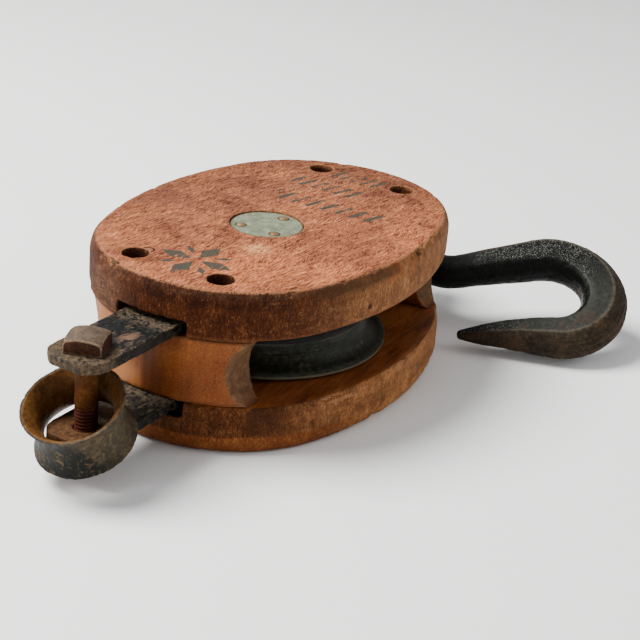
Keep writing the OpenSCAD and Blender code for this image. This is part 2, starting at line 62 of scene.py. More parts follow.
# The hook: where its eye turns, the eye's ring, the thickness along its middle line, and that line itself,
# in which each step is a length and the directions at its start and end
HOOK_PIVOT = (126.0, 0.0, 38.4)
EYE_RING_R = 16.5
NECK_R, BOWL_R, POINT_R = 8.7, 11.95, 2.7
SWELL_FROM, SWELL_TO, TAPER_FROM, HOOK_END = 33.1, 85.3, 140.0, 216.3
NECK_ANGLE = -24.0
HOOK_STEPS = ((11.0, NECK_ANGLE, NECK_ANGLE), (23.98, NECK_ANGLE, 40.5), (40.3, 40.5, 40.5),
              (64.68, 40.5, -90.0), (28.74, -90.0, -158.6), (47.6, -158.6, -150.4))
HOOK_LEAN, HOOK_FALL = math.radians(26.57), math.radians(10.05)

# The becket bolt
BOLT_SEAT = 58.75
BOLT_END_R = 4.05
SHANK_R = 4.95
THREAD_R, THREAD_PITCH, THREAD_DEPTH, THREAD_TOP = 5.0, 1.6, 0.42, 33.5
HEAD_HALF, HEAD_DOME = 8.25, 3.0
HEAD_TURN = math.radians(22)

# Stencils: the middle of the cross, and for each row its place along the block, and its middle and half
# length across it, with the pitch, half thickness and lean of its bars
CROSS_AT = (-60.4, -2.0)
STENCIL_ROWS = ((64.8, 6.0, 19.0, 6.7, 1.2, 0.26), (40.6, -8.5, 30.5, 8.1, 1.3, 0.24),
                (86.5, 0.0, 13.5, 5.8, 1.0, 0.3))

# Dents of the upper and the lower cheek (x, y, z, radius, depth) and cracks of their outer faces
# (x, y, length, direction)
UPPER_DENTS = ((20.5, -70.4, 75.2, 2.0, 1.3), (20.0, -71.0, 72.8, 1.6, 1.0), (5, 68, 74, 4, 1.2),
               (-52, -52, 74.5, 4.5, 0.9), (104, 20, 73, 5, 1.3), (-28, -15, 76.8, 4, 0.35),
               (46, 10, 76.8, 3, 0.3), (10, 40, 76.8, 5, 0.25), (70, -48, 74, 5, 1.0))
LOWER_DENTS = ((-6, -69.5, 2.5, 5.0, 1.2), (-50, -61.4, 12, 3.2, 1.0), (-54, -59.6, 14.5, 2.6, 0.8),
               (60, -62, 3, 6, 0.5), (-60, 50, 4, 6, 1.3), (95, 30, 3, 6, 1.4), (20, 71, 5, 5, 1.0))
UPPER_CRACKS = ((70, 30, 26, -9), (-30, 47, 34, -12), (20, -44, 22, -7))
LOWER_CRACKS = ((48, -5, 18, -10),)


# Numpy noise for shapes

def cell_hash(ix, iy, iz, seed):
    """A repeatable number from -1 to 1 for each whole-numbered cell."""
    n = (ix * 73856093) ^ (iy * 19349663) ^ (iz * 83492791) ^ (seed * 40503 + 977)
    n = (n ^ (n >> 13)) & 0x7FFFFFFF
    n = (n * (n * n * 15731 + 789221) + 1376312589) & 0x7FFFFFFF
    return n / 1073741824.0 - 1.0


def vnoise(p, seed=0):
    """Smooth value noise from -1 to 1 at points p."""
    f = np.floor(p).astype(np.int64)
    t = p - f
    t = t * t * t * (t * (t * 6 - 15) + 10)
    out = np.zeros(len(p))
    for dx in (0, 1):
        wx = t[:, 0] if dx else 1 - t[:, 0]
        for dy in (0, 1):
            wy = t[:, 1] if dy else 1 - t[:, 1]
            for dz in (0, 1):
                wz = t[:, 2] if dz else 1 - t[:, 2]
                out += wx * wy * wz * cell_hash(f[:, 0] + dx, f[:, 1] + dy, f[:, 2] + dz, seed)
    return out


def fbm(p, octaves=3, seed=0):
    """Value noise in layers, each half as strong and about twice as fine as the one before."""
    out, amp, total = np.zeros(len(p)), 1.0, 0.0
    for k in range(octaves):
        out += amp * vnoise(p * 2.03 ** k + 17.3 * k, seed + k)
        total += amp
        amp *= 0.5
    return out / total


def step(v, a, b):
    """Rises smoothly from 0 at a to 1 at b."""
    t = np.clip((v - a) / (b - a), 0, 1)
    return t * t * (3 - 2 * t)


def swell(co, size, octaves, seed):
    """Noise of a size in millimetres, from 0 to 1."""
    return 0.5 + 0.5 * fbm(co / size, octaves, seed)


def spots(co, size, octaves, seed, lift, most=1.0):
    """Noise of a size, or a size each way, lifted and kept between 0 and most."""
    return np.clip(fbm(co / np.array(size), octaves, seed) + lift, 0, most)


def dents(co, places):
    """Round dents: each place is x, y, z, radius, depth in millimetres."""
    d = np.zeros(len(co))
    for x, y, z, r, deep in places:
        q = np.linalg.norm(co - np.array([x, y, z]), axis=1) / r
        d -= deep * np.clip(1 - q * q, 0, 1) ** 1.5
    return d


def new_object(name, data):
    ob = bpy.data.objects.new(name, data)
    bpy.context.scene.collection.objects.link(ob)
    return ob


def arrays(mesh):
    """Points in millimetres and normals of a mesh."""
    n = len(mesh.vertices)
    co = np.empty(n * 3)
    no = np.empty(n * 3)
    mesh.vertices.foreach_get("co", co)
    mesh.vertex_normals.foreach_get("vector", no)
    return co.reshape(-1, 3) / MM, no.reshape(-1, 3)


def wear_attributes(mesh, voxel, rounds=2):
    """Stores how far each point stands out (wear) or lies in a corner, which the materials darken."""
    co, no = arrays(mesh)
    e = np.empty(len(mesh.edges) * 2, np.int64)
    mesh.edges.foreach_get("vertices", e)
    e = e.reshape(-1, 2)
    count = np.bincount(e.ravel(), minlength=len(co)).astype(float)
    count[count == 0] = 1

    def around(v):
        out = np.zeros_like(v)
        np.add.at(out, e[:, 0], v[e[:, 1]])
        np.add.at(out, e[:, 1], v[e[:, 0]])
        return out / (count[:, None] if v.ndim > 1 else count)

    far = co
    for _ in range(3):
        far = around(far)
    curve = -np.einsum("ij,ij->i", far - co, no) / voxel
    for _ in range(rounds):
        curve = 0.5 * curve + 0.5 * around(curve)
    gain = 2.2
    point_attribute(mesh, "wear", np.clip(curve * gain, 0, 1))
    point_attribute(mesh, "recess", np.clip(-curve * gain, 0, 1))


def point_attribute(mesh, name, values):
    a = mesh.attributes.new(name, "FLOAT", "POINT")
    a.data.foreach_set("value", values.astype(np.float32))


def carve(node, body, voxel, smooth, shape, mat, marks=None):
    """A finer mesh of a node, which stands for it: cut back a little by shape(points, normals), smoothed so
    many times, and with the point attributes that marks(points, normals) gives."""
    mesh = NODES[node].data.copy()
    bm = bmesh.new()
    bm.from_mesh(mesh)
    bmesh.ops.remove_doubles(bm, verts=bm.verts, dist=2e-6)
    bm.to_mesh(mesh)
    bm.free()
    ob = new_object(node + "_worn", mesh)
    m = ob.modifiers.new("remesh", "REMESH")
    m.mode = "VOXEL"
    m.voxel_size = voxel * MM
    m.adaptivity = 0
    if smooth:
        s = ob.modifiers.new("smooth", "SMOOTH")
        s.factor = 0.5
        s.iterations = smooth
    graph = bpy.context.evaluated_depsgraph_get()
    fine = bpy.data.meshes.new_from_object(ob.evaluated_get(graph))
    ob.modifiers.clear()
    ob.data = fine
    fine.name = ob.name
    co, no = arrays(fine)
    for name, values in (marks(co, no) if marks else {}).items():
        point_attribute(fine, name, values)
    co = co + no * np.minimum(shape(co, no), 0)[:, None]
    lo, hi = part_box(node)
    co = np.clip(co, np.array(lo) / MM, np.array(hi) / MM)
    fine.vertices.foreach_set("co", (co * MM).ravel())
    fine.update()
    wear_attributes(fine, voxel)
    dress(ob, mat)
    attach(ob, body)
    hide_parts(node)


def paint(mesh, mat):
    mesh.materials.clear()
    mesh.materials.append(mat)


def dress(ob, mat):
    """The object's only material, with smooth shading."""
    paint(ob.data, mat)
    for p in ob.data.polygons:
        p.use_smooth = True


# Material building

WHITE = (1, 1, 1, 1)


def rgb(r, g, b):
    """A colour given as 0-255 screen values."""
    def lin(c):
        c /= 255.0
        return c / 12.92 if c <= 0.04045 else ((c + 0.055) / 1.055) ** 2.4
    return (lin(r), lin(g), lin(b), 1.0)


class Look:
    """A material and short names for its nodes. Its coordinates are millimetres of the part's frame."""

    def __init__(self, name, **shader):
        self.mat = bpy.data.materials.new(name)
        self.mat.use_nodes = True
        self.t = self.mat.node_tree
        self.t.nodes.clear()
        self.bsdf = self.node("ShaderNodeBsdfPrincipled", {k.replace("_", " "): v for k, v in shader.items()})
        self.node("ShaderNodeOutputMaterial", {0: self.bsdf.outputs[0]})
        place = self.node("ShaderNodeTexCoord", {}).outputs
        self.p = self.node("ShaderNodeVectorMath", {0: place["Object"], "Scale": 1 / MM},
                           operation="SCALE").outputs[0]
        self.xyz = self.split(self.p)
        self.nxyz = self.split(place["Normal"])

    def node(self, kind, inputs, **settings):
        """A new node with its settings, and a value or another node's socket for each input given."""
        n = self.t.nodes.new(kind)
        for key, value in settings.items():
            setattr(n, key, value)
        for key, value in inputs.items():
            self.set(n.inputs[key], value)
        return n

    def set(self, socket, value):
        if isinstance(value, bpy.types.NodeSocket):
            self.t.links.new(value, socket)
        elif value is not None:
            socket.default_value = value

    def split(self, v):
        return list(self.node("ShaderNodeSeparateXYZ", {0: v}).outputs)

    def join(self, x, y, z):
        return self.node("ShaderNodeCombineXYZ", {0: x, 1: y, 2: z}).outputs[0]

    def vec(self, op, a, b=None):
        """The LENGTH of a vector or the DISTANCE of two."""
        return self.node("ShaderNodeVectorMath", {0: a, 1: b}, operation=op).outputs["Value"]

    def m(self, op, a, b=None):
        return self.node("ShaderNodeMath", {0: a, 1: b}, operation=op).outputs[0]

    def add(self, a, b):
        return self.m("ADD", a, b)

    def sub(self, a, b):
        return self.m("SUBTRACT", a, b)

    def abs(self, v):
        return self.m("ABSOLUTE", v)

    def chain(self, op, values):
        """One operation over all the values, counted from the last one back."""
        out = values[-1]
        for v in reversed(values[:-1]):
            out = self.m(op, v, out)
        return out

    def mul(self, *values):
        return self.chain("MULTIPLY", values)

    def most(self, *values):
        return self.chain("MAXIMUM", values)

    def weigh(self, *pairs):
        """Sum of values that are each followed by a weight."""
        return self.chain("ADD", [self.mul(v, w) for v, w in zip(pairs[::2], pairs[1::2])])

    def swing(self, v, amount):
        """A noise counted from its middle, times an amount."""
        return self.mul(self.sub(v, 0.5), amount)

    def stretch(self, v, scales, turn=0.0, move=(0, 0, 0)):
        """Coordinates turned about z, in degrees, then scaled each way and moved."""
        if turn:
            v = self.node("ShaderNodeVectorRotate", {"Vector": v, "Angle": math.radians(turn)},
                          rotation_type="Z_AXIS").outputs[0]
        return self.node("ShaderNodeMapping", {"Vector": v, "Scale": scales, "Location": move},
                         vector_type="POINT").outputs[0]

    def noise(self, v, scale=1.0, detail=3.0, rough=0.5, warp=0.0):
        return self.node("ShaderNodeTexNoise", {"Vector": v, "Scale": scale, "Detail": detail,
                                                "Roughness": rough, "Distortion": warp}).outputs[0]

    def grain(self, v, scales, detail=3.0, rough=0.5, warp=0.0, turn=0.0, move=(0, 0, 0)):
        """Noise that is stretched."""
        return self.noise(self.stretch(v, scales, turn, move), 1.0, detail, rough, warp)

    def cells(self, v, scale=1.0):
        """Distance to the nearest of points strewn at random."""
        return self.node("ShaderNodeTexVoronoi", {"Vector": v, "Scale": scale, "Randomness": 1.0},
                         feature="F1").outputs["Distance"]

    def span(self, v, a, b, c=0.0, d=1.0, kind="SMOOTHSTEP"):
        """Goes from c where v is a to d where v is b, and stays there."""
        return self.node("ShaderNodeMapRange", {0: v, 1: a, 2: b, 3: c, 4: d}, interpolation_type=kind,
                         clamp=True).outputs[0]

    def linear(self, v, a, b):
        return self.span(v, a, b, kind="LINEAR")

    def ramp(self, fac, *stops):
        """A colour ramp: each stop is a place and a colour."""
        n = self.node("ShaderNodeValToRGB", {0: fac})
        e = n.color_ramp.elements
        while len(e) < len(stops):
            e.new(0.5)
        for el, (pos, col) in zip(e, stops):
            el.position = pos
            el.color = col
        return n.outputs[0]

    def shades(self, fac, *stops):
        """A colour ramp whose colours are 0-255 screen values."""
        return self.ramp(fac, *[(pos, rgb(r, g, b)) for pos, r, g, b in stops])

    def mix(self, fac, a, b, how="MIX"):
        return self.node("ShaderNodeMix", {0: fac, 6: a, 7: b}, data_type="RGBA", blend_type=how).outputs[2]

    def tint(self, fac, col, r, g, b):
        """The colour col, turned towards a 0-255 screen colour."""
        return self.mix(fac, col, rgb(r, g, b))

    def multiply(self, a, b):
        return self.mix(1.0, a, b, "MULTIPLY")

    def blend(self, fac, a, b):
        return self.node("ShaderNodeMix", {0: fac, 2: a, 3: b}, data_type="FLOAT").outputs[0]

    def attr(self, name):
        return self.node("ShaderNodeAttribute", {}, attribute_name=name).outputs["Fac"]

    def worn(self):
        """How far a point stands out, and how far it lies in a corner."""
        return self.attr("wear"), self.attr("recess")

    def bump(self, height, dist_mm, strength=1.0, base=None):
        return self.node("ShaderNodeBump", {"Height": height, "Distance": dist_mm * MM,
                                            "Strength": strength, "Normal": base}).outputs[0]

    def finish(self, color, rough, normal=None, metal=None):
        keys = ("Base Color", "Roughness", "Normal", "Metallic")
        for key, value in zip(keys, (color, rough, normal, metal)):
            self.set(self.bsdf.inputs[key], value)
        return self.mat


def near(L, x, y, r0, r1, z=None):
    """1 within r0 of an upright line at x, y, or of a point if z is given, and 0 past r1."""
    v = L.join(L.xyz[0], L.xyz[1], L.xyz[2] if z is not None else 0.0)
    d = L.vec("DISTANCE", v, (x, y, z if z is not None else 0.0))
    return L.span(d, r1, r0)


def lozenge(L, u, v, a, b):
    """How far inside a lozenge of half axes a and b a point is, from its middle (1) to its edge (0)."""
    return L.sub(1, L.add(L.m("DIVIDE", L.abs(u), a), L.m("DIVIDE", L.abs(v), b)))


def stencil_marks(L):
    """Worn stencil paint: a cross of lozenges with four small ones between, and three rows of short bars."""
    x, y = L.xyz[:2]
    wob = L.sub(L.noise(L.p, 0.5, 2), 0.5)
    # The cross, and the small lozenges in its diagonals
    cx, cy = L.add(x, -CROSS_AT[0]), L.add(y, -CROSS_AT[1])
    u, v = L.abs(L.add(cx, L.mul(wob, 1.6))), L.abs(L.add(cy, L.mul(wob, -1.2)))
    big, small = L.most(u, v), L.m("MINIMUM", u, v)
    cross = L.span(lozenge(L, L.sub(big, 10.8), small, 8.6, 4.3), 0, 0.06)
    s, t = L.mul(L.add(u, v), 0.7071), L.mul(L.sub(u, v), 0.7071)
    cross = L.most(cross, L.span(lozenge(L, L.sub(s, 12.6), t, 4.8, 1.7), 0, 0.08))
    # The rows of slanting bars
    rows = []
    for row_x, mid, half, pitch, thick, lean in STENCIL_ROWS:
        w = L.sub(y, mid)
        inside = L.span(L.abs(w), half + 0.3, half)
        k = L.add(w, L.mul(L.sub(x, row_x), lean))
        k = L.sub(L.m("FLOORED_MODULO", L.add(L.add(k, L.mul(wob, 0.8)), 200), pitch), pitch / 2)
        bar = L.span(L.abs(k), thick + 0.15, thick - 0.15)
        tall = L.span(L.abs(L.sub(L.add(x, L.mul(wob, 3)), row_x)), 6.3, 5.9)
        rows.append(L.mul(inside, bar, tall))
    worn = L.span(L.grain(L.p, (0.22, 0.5, 0.3), 5, 0.68), 0.33, 0.42)
    rubbed = L.span(L.grain(L.p, (0.1, 0.14, 0.1), 3, move=(3, 1, 0)), 0.34, 0.5, 0.3, 1)
    return L.mul(L.most(L.mul(cross, 0.95), L.mul(L.most(*rows), rubbed)), worn)


def cheek_wood(name, upper):
    """Worn oiled wood of the upper or the lower cheek."""
    L = Look(name, Specular_IOR_Level=0.06)
    x, y, z = L.xyz
    out_z = L.nxyz[2] if upper else L.mul(L.nxyz[2], -1)
    outer = L.span(out_z, 0.9, 0.96)
    inner = L.span(L.mul(out_z, -1), 0.8, 0.95)
    wear, recess = L.worn()

    # The broad face: short raised fibres along the block over soft lighter and darker clouds
    sway = L.sub(L.noise(L.p, 0.035, 2), 0.5)
    q = L.join(x, L.add(y, L.mul(sway, 7)), z)
    fib1 = L.grain(q, (0.19, 1.35, 0.5), 2, 0.55, 0.12, turn=6)
    fib2 = L.grain(q, (0.34, 2.1, 1), 1, 0.5, 0.1, turn=-11)
    fib3 = L.grain(q, (0.07, 0.26, 0.2), 4, 0.6, 0.3, turn=8)
    cloud = L.noise(L.p, 0.034, 4, 0.6, 0.3)
    f = L.linear(L.weigh(fib1, 0.4, fib2, 0.4, fib3, 0.2), 0.37, 0.63)
    face = L.shades(f, (0.0, 66, 36, 27), (0.24, 108, 64, 47), (0.46, 140, 88, 62), (0.76, 158, 101, 72),
                    (1.0, 196, 134, 95))
    tone = L.ramp(L.linear(cloud, 0.32, 0.68), (0.0, (0.52, 0.48, 0.51, 1)), (0.42, (0.93, 0.92, 0.93, 1)),
                  (1.0, (1.22, 1.16, 1.03, 1)))
    face = L.multiply(face, tone)
    if upper:
        # Painted light: brighter and more orange towards the middle and the becket end; painted shade along the
        # far edge and at the hook end
        painted_light = L.span(L.weigh(y, -0.9, x, -0.45), -50, 70)
        face = L.multiply(face, L.mix(painted_light, (0.89, 0.87, 0.87, 1), (1.2, 1.08, 0.96, 1)))
        ends = L.most(L.span(L.add(x, L.mul(fib3, 24)), 80, 108),
                      L.mul(L.span(L.add(y, L.mul(fib3, 16)), 52, 74), 0.8))
        face = L.multiply(face, L.mix(ends, WHITE, (0.7, 0.7, 0.7, 1)))
        smoke = L.most(L.mul(near(L, -2, 57, 3, 24), 0.55), L.mul(near(L, 22, -38, 2, 15), 0.35),
                       L.mul(near(L, -18, -45, 2, 10), 0.3))
        face = L.tint(L.mul(smoke, L.span(fib3, 0.3, 0.6)), face, 92, 56, 44)
        pale = L.mul(near(L, -31, -15, 1, 9), L.span(L.noise(L.p, 0.5, 5, 0.7), 0.4, 0.58))
        pale = L.most(pale, L.mul(near(L, 44, -37, 1, 9), L.span(L.noise(L.p, 0.6, 5, 0.7), 0.5, 0.62, 0, 0.5)))
        face = L.tint(L.mul(pale, 0.85), face, 222, 160, 108)
        face = L.tint(stencil_marks(L), face, 60, 61, 54)
    # Painted shade in a ring round the plate's recess
    ring = L.mul(near(L, 0, 0, PLATE_R + 0.4, PLATE_R + 2.2), L.span(cloud, 0.3, 0.6, 0.4, 0.9))
    face = L.tint(L.mul(ring, 0.55), face, 70, 40, 30)
    for hx, hy in HOLES:
        face = L.tint(L.mul(near(L, hx, hy, 5.6, 7.4), 0.55), face, 70, 40, 30)
    if upper:
        # A round print beside one hole
        print_d = L.vec("DISTANCE", L.join(x, y, 0), (-64.9, 20.6, 0))
        face = L.tint(L.mul(L.span(print_d, 2.6, 2.2), 0.8), face, 124, 82, 60)
        face = L.tint(L.mul(L.span(L.abs(L.sub(print_d, 2.7)), 0.75, 0.3), 0.95), face, 40, 19, 13)

    # The edge of the board: a fine fuzzy grain with light flecks and dirt bands; painted light makes it warmer
    # and lighter towards the hook
    e1 = L.grain(L.p, (0.95, 0.95, 0.42), 4, 0.7, 0.4)
    e2 = L.grain(L.p, (2.3, 2.3, 1.1), 2, 0.6, 0.3)
    e3 = L.grain(L.p, (0.05, 0.05, 0.22), 4, 0.6, 0.6)
    e4 = L.grain(L.p, (0.16, 0.16, 0.1), 3, 0.6, 0.5)
    e = L.linear(L.weigh(e1, 0.42, e2, 0.33, e4, 0.25), 0.38, 0.62)
    fleck = L.span(L.weigh(e2, 0.6, e1, 0.4), 0.56, 0.63)
    if upper:
        # Painted light: the edge is lighter and warmer towards the hook end and the near side
        edge_in_shade = L.shades(e, (0.0, 36, 14, 4), (0.45, 63, 29, 11), (0.75, 82, 43, 20), (1.0, 110, 68, 38))
        edge_in_light = L.shades(e, (0.0, 80, 46, 24), (0.4, 122, 79, 47), (0.7, 148, 101, 64), (1.0, 188, 136, 94))
        side = L.mix(L.span(L.add(x, L.swing(e3, 50)), -74, 4, 0, L.span(y, 20, -40, 0.6, 1)), edge_in_shade, edge_in_light)
        grey = L.mul(L.span(L.add(L.mul(x, 0.9), L.swing(e3, -50)), -66, -84), L.span(y, 10, 30))
        side = L.mix(L.mul(grey, 0.7), side,
                     L.shades(e, (0.0, 54, 36, 26), (0.5, 84, 60, 44), (1.0, 122, 92, 68)))
        rim = L.mul(L.span(L.add(z, L.swing(e3, 8)), 71.5, 76), L.span(e4, 0.38, 0.58, 0.3, 0.9))
        rim = L.mul(rim, L.span(L.add(x, L.mul(e3, 20)), -30, -10, 0.75, 0.4))
        side = L.mix(L.mul(rim, 0.7), side,
                     L.shades(e, (0.0, 50, 34, 24), (0.5, 80, 56, 40), (1.0, 126, 94, 68)))
        side = L.tint(L.mul(fleck, L.span(e3, 0.35, 0.6, 0.05, 0.32)), side, 138, 98, 68)
        scratch = L.mul(near(L, -84, 33, 2, 10),
                        L.span(L.grain(L.p, (0.25, 0.25, 2.2), 2, 0.5, 0.3), 0.56, 0.66))
        side = L.tint(L.mul(scratch, 0.4), side, 150, 112, 84)
        orange = L.mul(L.most(near(L, -2, -71, 1, 9), L.mul(near(L, 13, -71, 1, 7), 0.7)), L.span(z, 66, 70.5))
        side = L.tint(L.mul(orange, L.span(e4, 0.36, 0.62), L.span(e, 0.1, 0.7, 0.5, 1)), side, 154, 84, 42)
        # The rounding is dirtier at both ends
        ends = L.most(L.mul(L.span(x, -58, -76), L.span(y, 16, 0)), L.mul(L.span(x, 60, 80), 0.6))
        ends = L.mul(ends, L.span(z, 67.5, 70.5))
        side = L.multiply(side, L.mix(ends, WHITE, (0.62, 0.58, 0.56, 1)))
        soot = L.mul(L.span(z, 69.5, 72.5), L.span(x, -62, -44), L.span(L.add(x, L.mul(e4, 20)), 18, 8))
        soot = L.mul(soot, L.span(L.weigh(e4, 0.5, e1, 0.5), 0.4, 0.58, 0.1, 0.85))
        side = L.tint(soot, side, 66, 43, 27)
        nick = L.most(near(L, 20.5, -70.6, 0.9, 2.2, 74.4), near(L, -21, -69.3, 0.8, 2, 61))
        side = L.tint(L.mul(nick, 0.9), side, 46, 24, 14)
        # Painted highlight along the bottom edge of the upper cheek's side
        low = L.span(L.add(z, L.mul(e4, -3)), 54.8, 53.4)
        side = L.tint(L.mul(low, 0.3), side, 118, 74, 46)
    else:
        # Painted light: the edge is lighter and warmer towards the hook end and the near side
        edge_in_shade = L.shades(e, (0.0, 42, 18, 6), (0.4, 70, 36, 16), (0.7, 92, 52, 26), (1.0, 122, 76, 42))
        edge_in_light = L.shades(e, (0.0, 94, 56, 30), (0.4, 134, 87, 52), (0.7, 158, 107, 66), (1.0, 196, 142, 94))
        side = L.mix(L.span(L.add(x, L.swing(e3, 50)), -88, 6, 0, L.span(y, 20, -40, 0.6, 1)), edge_in_shade, edge_in_light)
        side = L.tint(L.mul(fleck, 0.22), side, 146, 98, 64)
        patch = L.ramp(L.grain(L.p, (0.075, 0.075, 0.16), 5, 0.65, 0.4), (0.34, (0.7, 0.64, 0.6, 1)),
                       (0.5, (1, 0.98, 0.96, 1)), (0.66, (1.2, 1.13, 1.06, 1)))
        side = L.mix(L.span(x, -52, -20), side, L.multiply(side, patch))
        stain_and_shade = L.mul(near(L, -70, -48, 4, 13), L.span(L.add(z, L.mul(e4, 4)), 11.5, 13))
        side = L.tint(L.mul(stain_and_shade, L.span(e3, 0.3, 0.5, 0.25, 0.6)), side, 46, 24, 12)
        pits = L.mul(near(L, -50, -61, 2, 11), L.span(L.noise(L.p, 0.45, 4, 0.7), 0.5, 0.6))
        side = L.tint(L.mul(pits, 0.45), side, 140, 94, 60)
        foot = L.mul(L.span(z, 10, 6), L.span(x, -46, -20), L.span(x, 60, 26, 0.3, 1))
        side = L.mix(L.mul(foot, L.span(e4, 0.3, 0.6, 0.4, 0.9)), side,
                     L.shades(e, (0.2, 138, 86, 46), (0.8, 200, 138, 84)))
        band = L.mul(L.span(L.add(z, L.swing(e3, 3)), 8.9, 8.3), L.span(L.add(x, L.mul(e3, 30)), 0, -30, 0, 1))
        side = L.mix(L.mul(band, 0.85), side,
                     L.shades(e, (0.0, 86, 44, 18), (0.5, 118, 64, 30), (1.0, 156, 96, 52)))
        rub = L.mul(L.span(z, 16, 20.5), L.span(L.grain(L.p, (0.11, 0.11, 0.7), 5, 0.7, 0.5), 0.48, 0.6))
        rub = L.mul(rub, L.span(x, -52, -40), L.span(x, 60, 10, 0.35, 1))
        side = L.tint(L.mul(rub, 0.72), side, 172, 122, 84)

    # The faces inside the block: smoother, oily, golden brown with dark streaks
    i1 = L.grain(L.p, (0.05, 0.42, 0.3), 4, 0.6, 0.4, turn=-4)
    i2 = L.noise(L.p, 0.9, 3, 0.6)
    i3 = L.grain(L.p, (0.025, 0.09, 0.1), 2, 0.5, 0.5, turn=-4)
    inside = L.shades(L.weigh(i1, 0.75, i2, 0.25), (0.3, 82, 40, 17), (0.5, 113, 61, 29), (0.7, 140, 84, 44))
    inside = L.tint(L.span(i3, 0.52, 0.66, 0, 0.6), inside, 62, 28, 12)
    if not upper:
        inside = L.tint(L.mul(near(L, 58, -42, 4, 22), L.span(i2, 0.35, 0.6, 0.3, 0.7)), inside, 150, 88, 42)
        blot = L.mul(near(L, 62, -34, 2, 11), L.span(i1, 0.42, 0.56))
        inside = L.tint(L.mul(blot, 0.75), inside, 70, 26, 12)

    col = L.mix(outer, side, face)
    line = L.mul(L.span(out_z, 0.62, 0.86), L.span(out_z, 0.985, 0.93))
    line = L.mul(line, L.span(L.add(e1, L.mul(e3, 0.5)), 0.62, 0.8, 0.15, 1))
    col = L.mix(L.mul(line, 0.7 if upper else 0.25), col, rgb(168, 112, 78) if upper else rgb(140, 92, 60))
    col = L.mix(inner, col, inside)
    pores = L.span(L.cells(L.stretch(q, (0.16, 1.25, 0.7), 1)), 0.22, 0.1)
    col = L.tint(L.mul(pores, outer, 0.55), col, 78, 42, 30)
    chip = L.span(L.add(wear, L.swing(e1, 0.9)), 0.55, 0.95)
    col = L.mix(L.mul(chip, 0.4), col, rgb(160, 110, 78) if upper else rgb(140, 90, 58))
    col = L.tint(L.mul(recess, 0.75), col, 24, 11, 6)
    # The mouths of the strap slots get painted shade, near black
    slot = L.mul(L.span(L.abs(y), 19, 17.4), L.span(z, 64, 62) if upper else L.span(z, 13, 15))
    slot = L.mul(slot, L.most(L.span(x, -84, -86), L.span(x, 103, 105)))
    black = L.mul(slot, L.sub(1, L.span(L.abs(L.nxyz[1]), 0.97, 0.995)))
    walls = L.sub(1, L.span(L.vec("LENGTH", L.join(L.nxyz[0], L.nxyz[1], 0)), 0.4, 0.7))
    col = L.tint(L.mul(black, walls), col, 16, 9, 6)
    # Painted shade down the walls of the holes
    for hx, hy in HOLES:
        deep = L.mul(near(L, hx, hy, 5.9, 6.2),
                     L.span(z, TOP_Z - 1.4, TOP_Z - 2.4) if upper else L.span(z, 1.4, 2.4))
        col = L.tint(L.mul(deep, 0.9), col, 58, 28, 18)
    hgt = L.blend(outer, L.weigh(e1, 0.7, e2, 0.6), L.weigh(fib1, 0.7, fib2, 0.6))
    hgt = L.blend(inner, hgt, L.mul(i1, 0.5))
    nrm = L.bump(hgt, 0.88, 0.95)
    nrm = L.bump(L.noise(L.p, 2.6, 3, 0.6), 0.12, 0.7, nrm)
    rough = L.blend(outer, L.span(e, 0, 1, 0.55, 0.75), L.span(f, 0, 1, 0.72, 0.6))
    rough = L.blend(inner, rough, 0.42)
    return L.finish(col, rough, nrm)


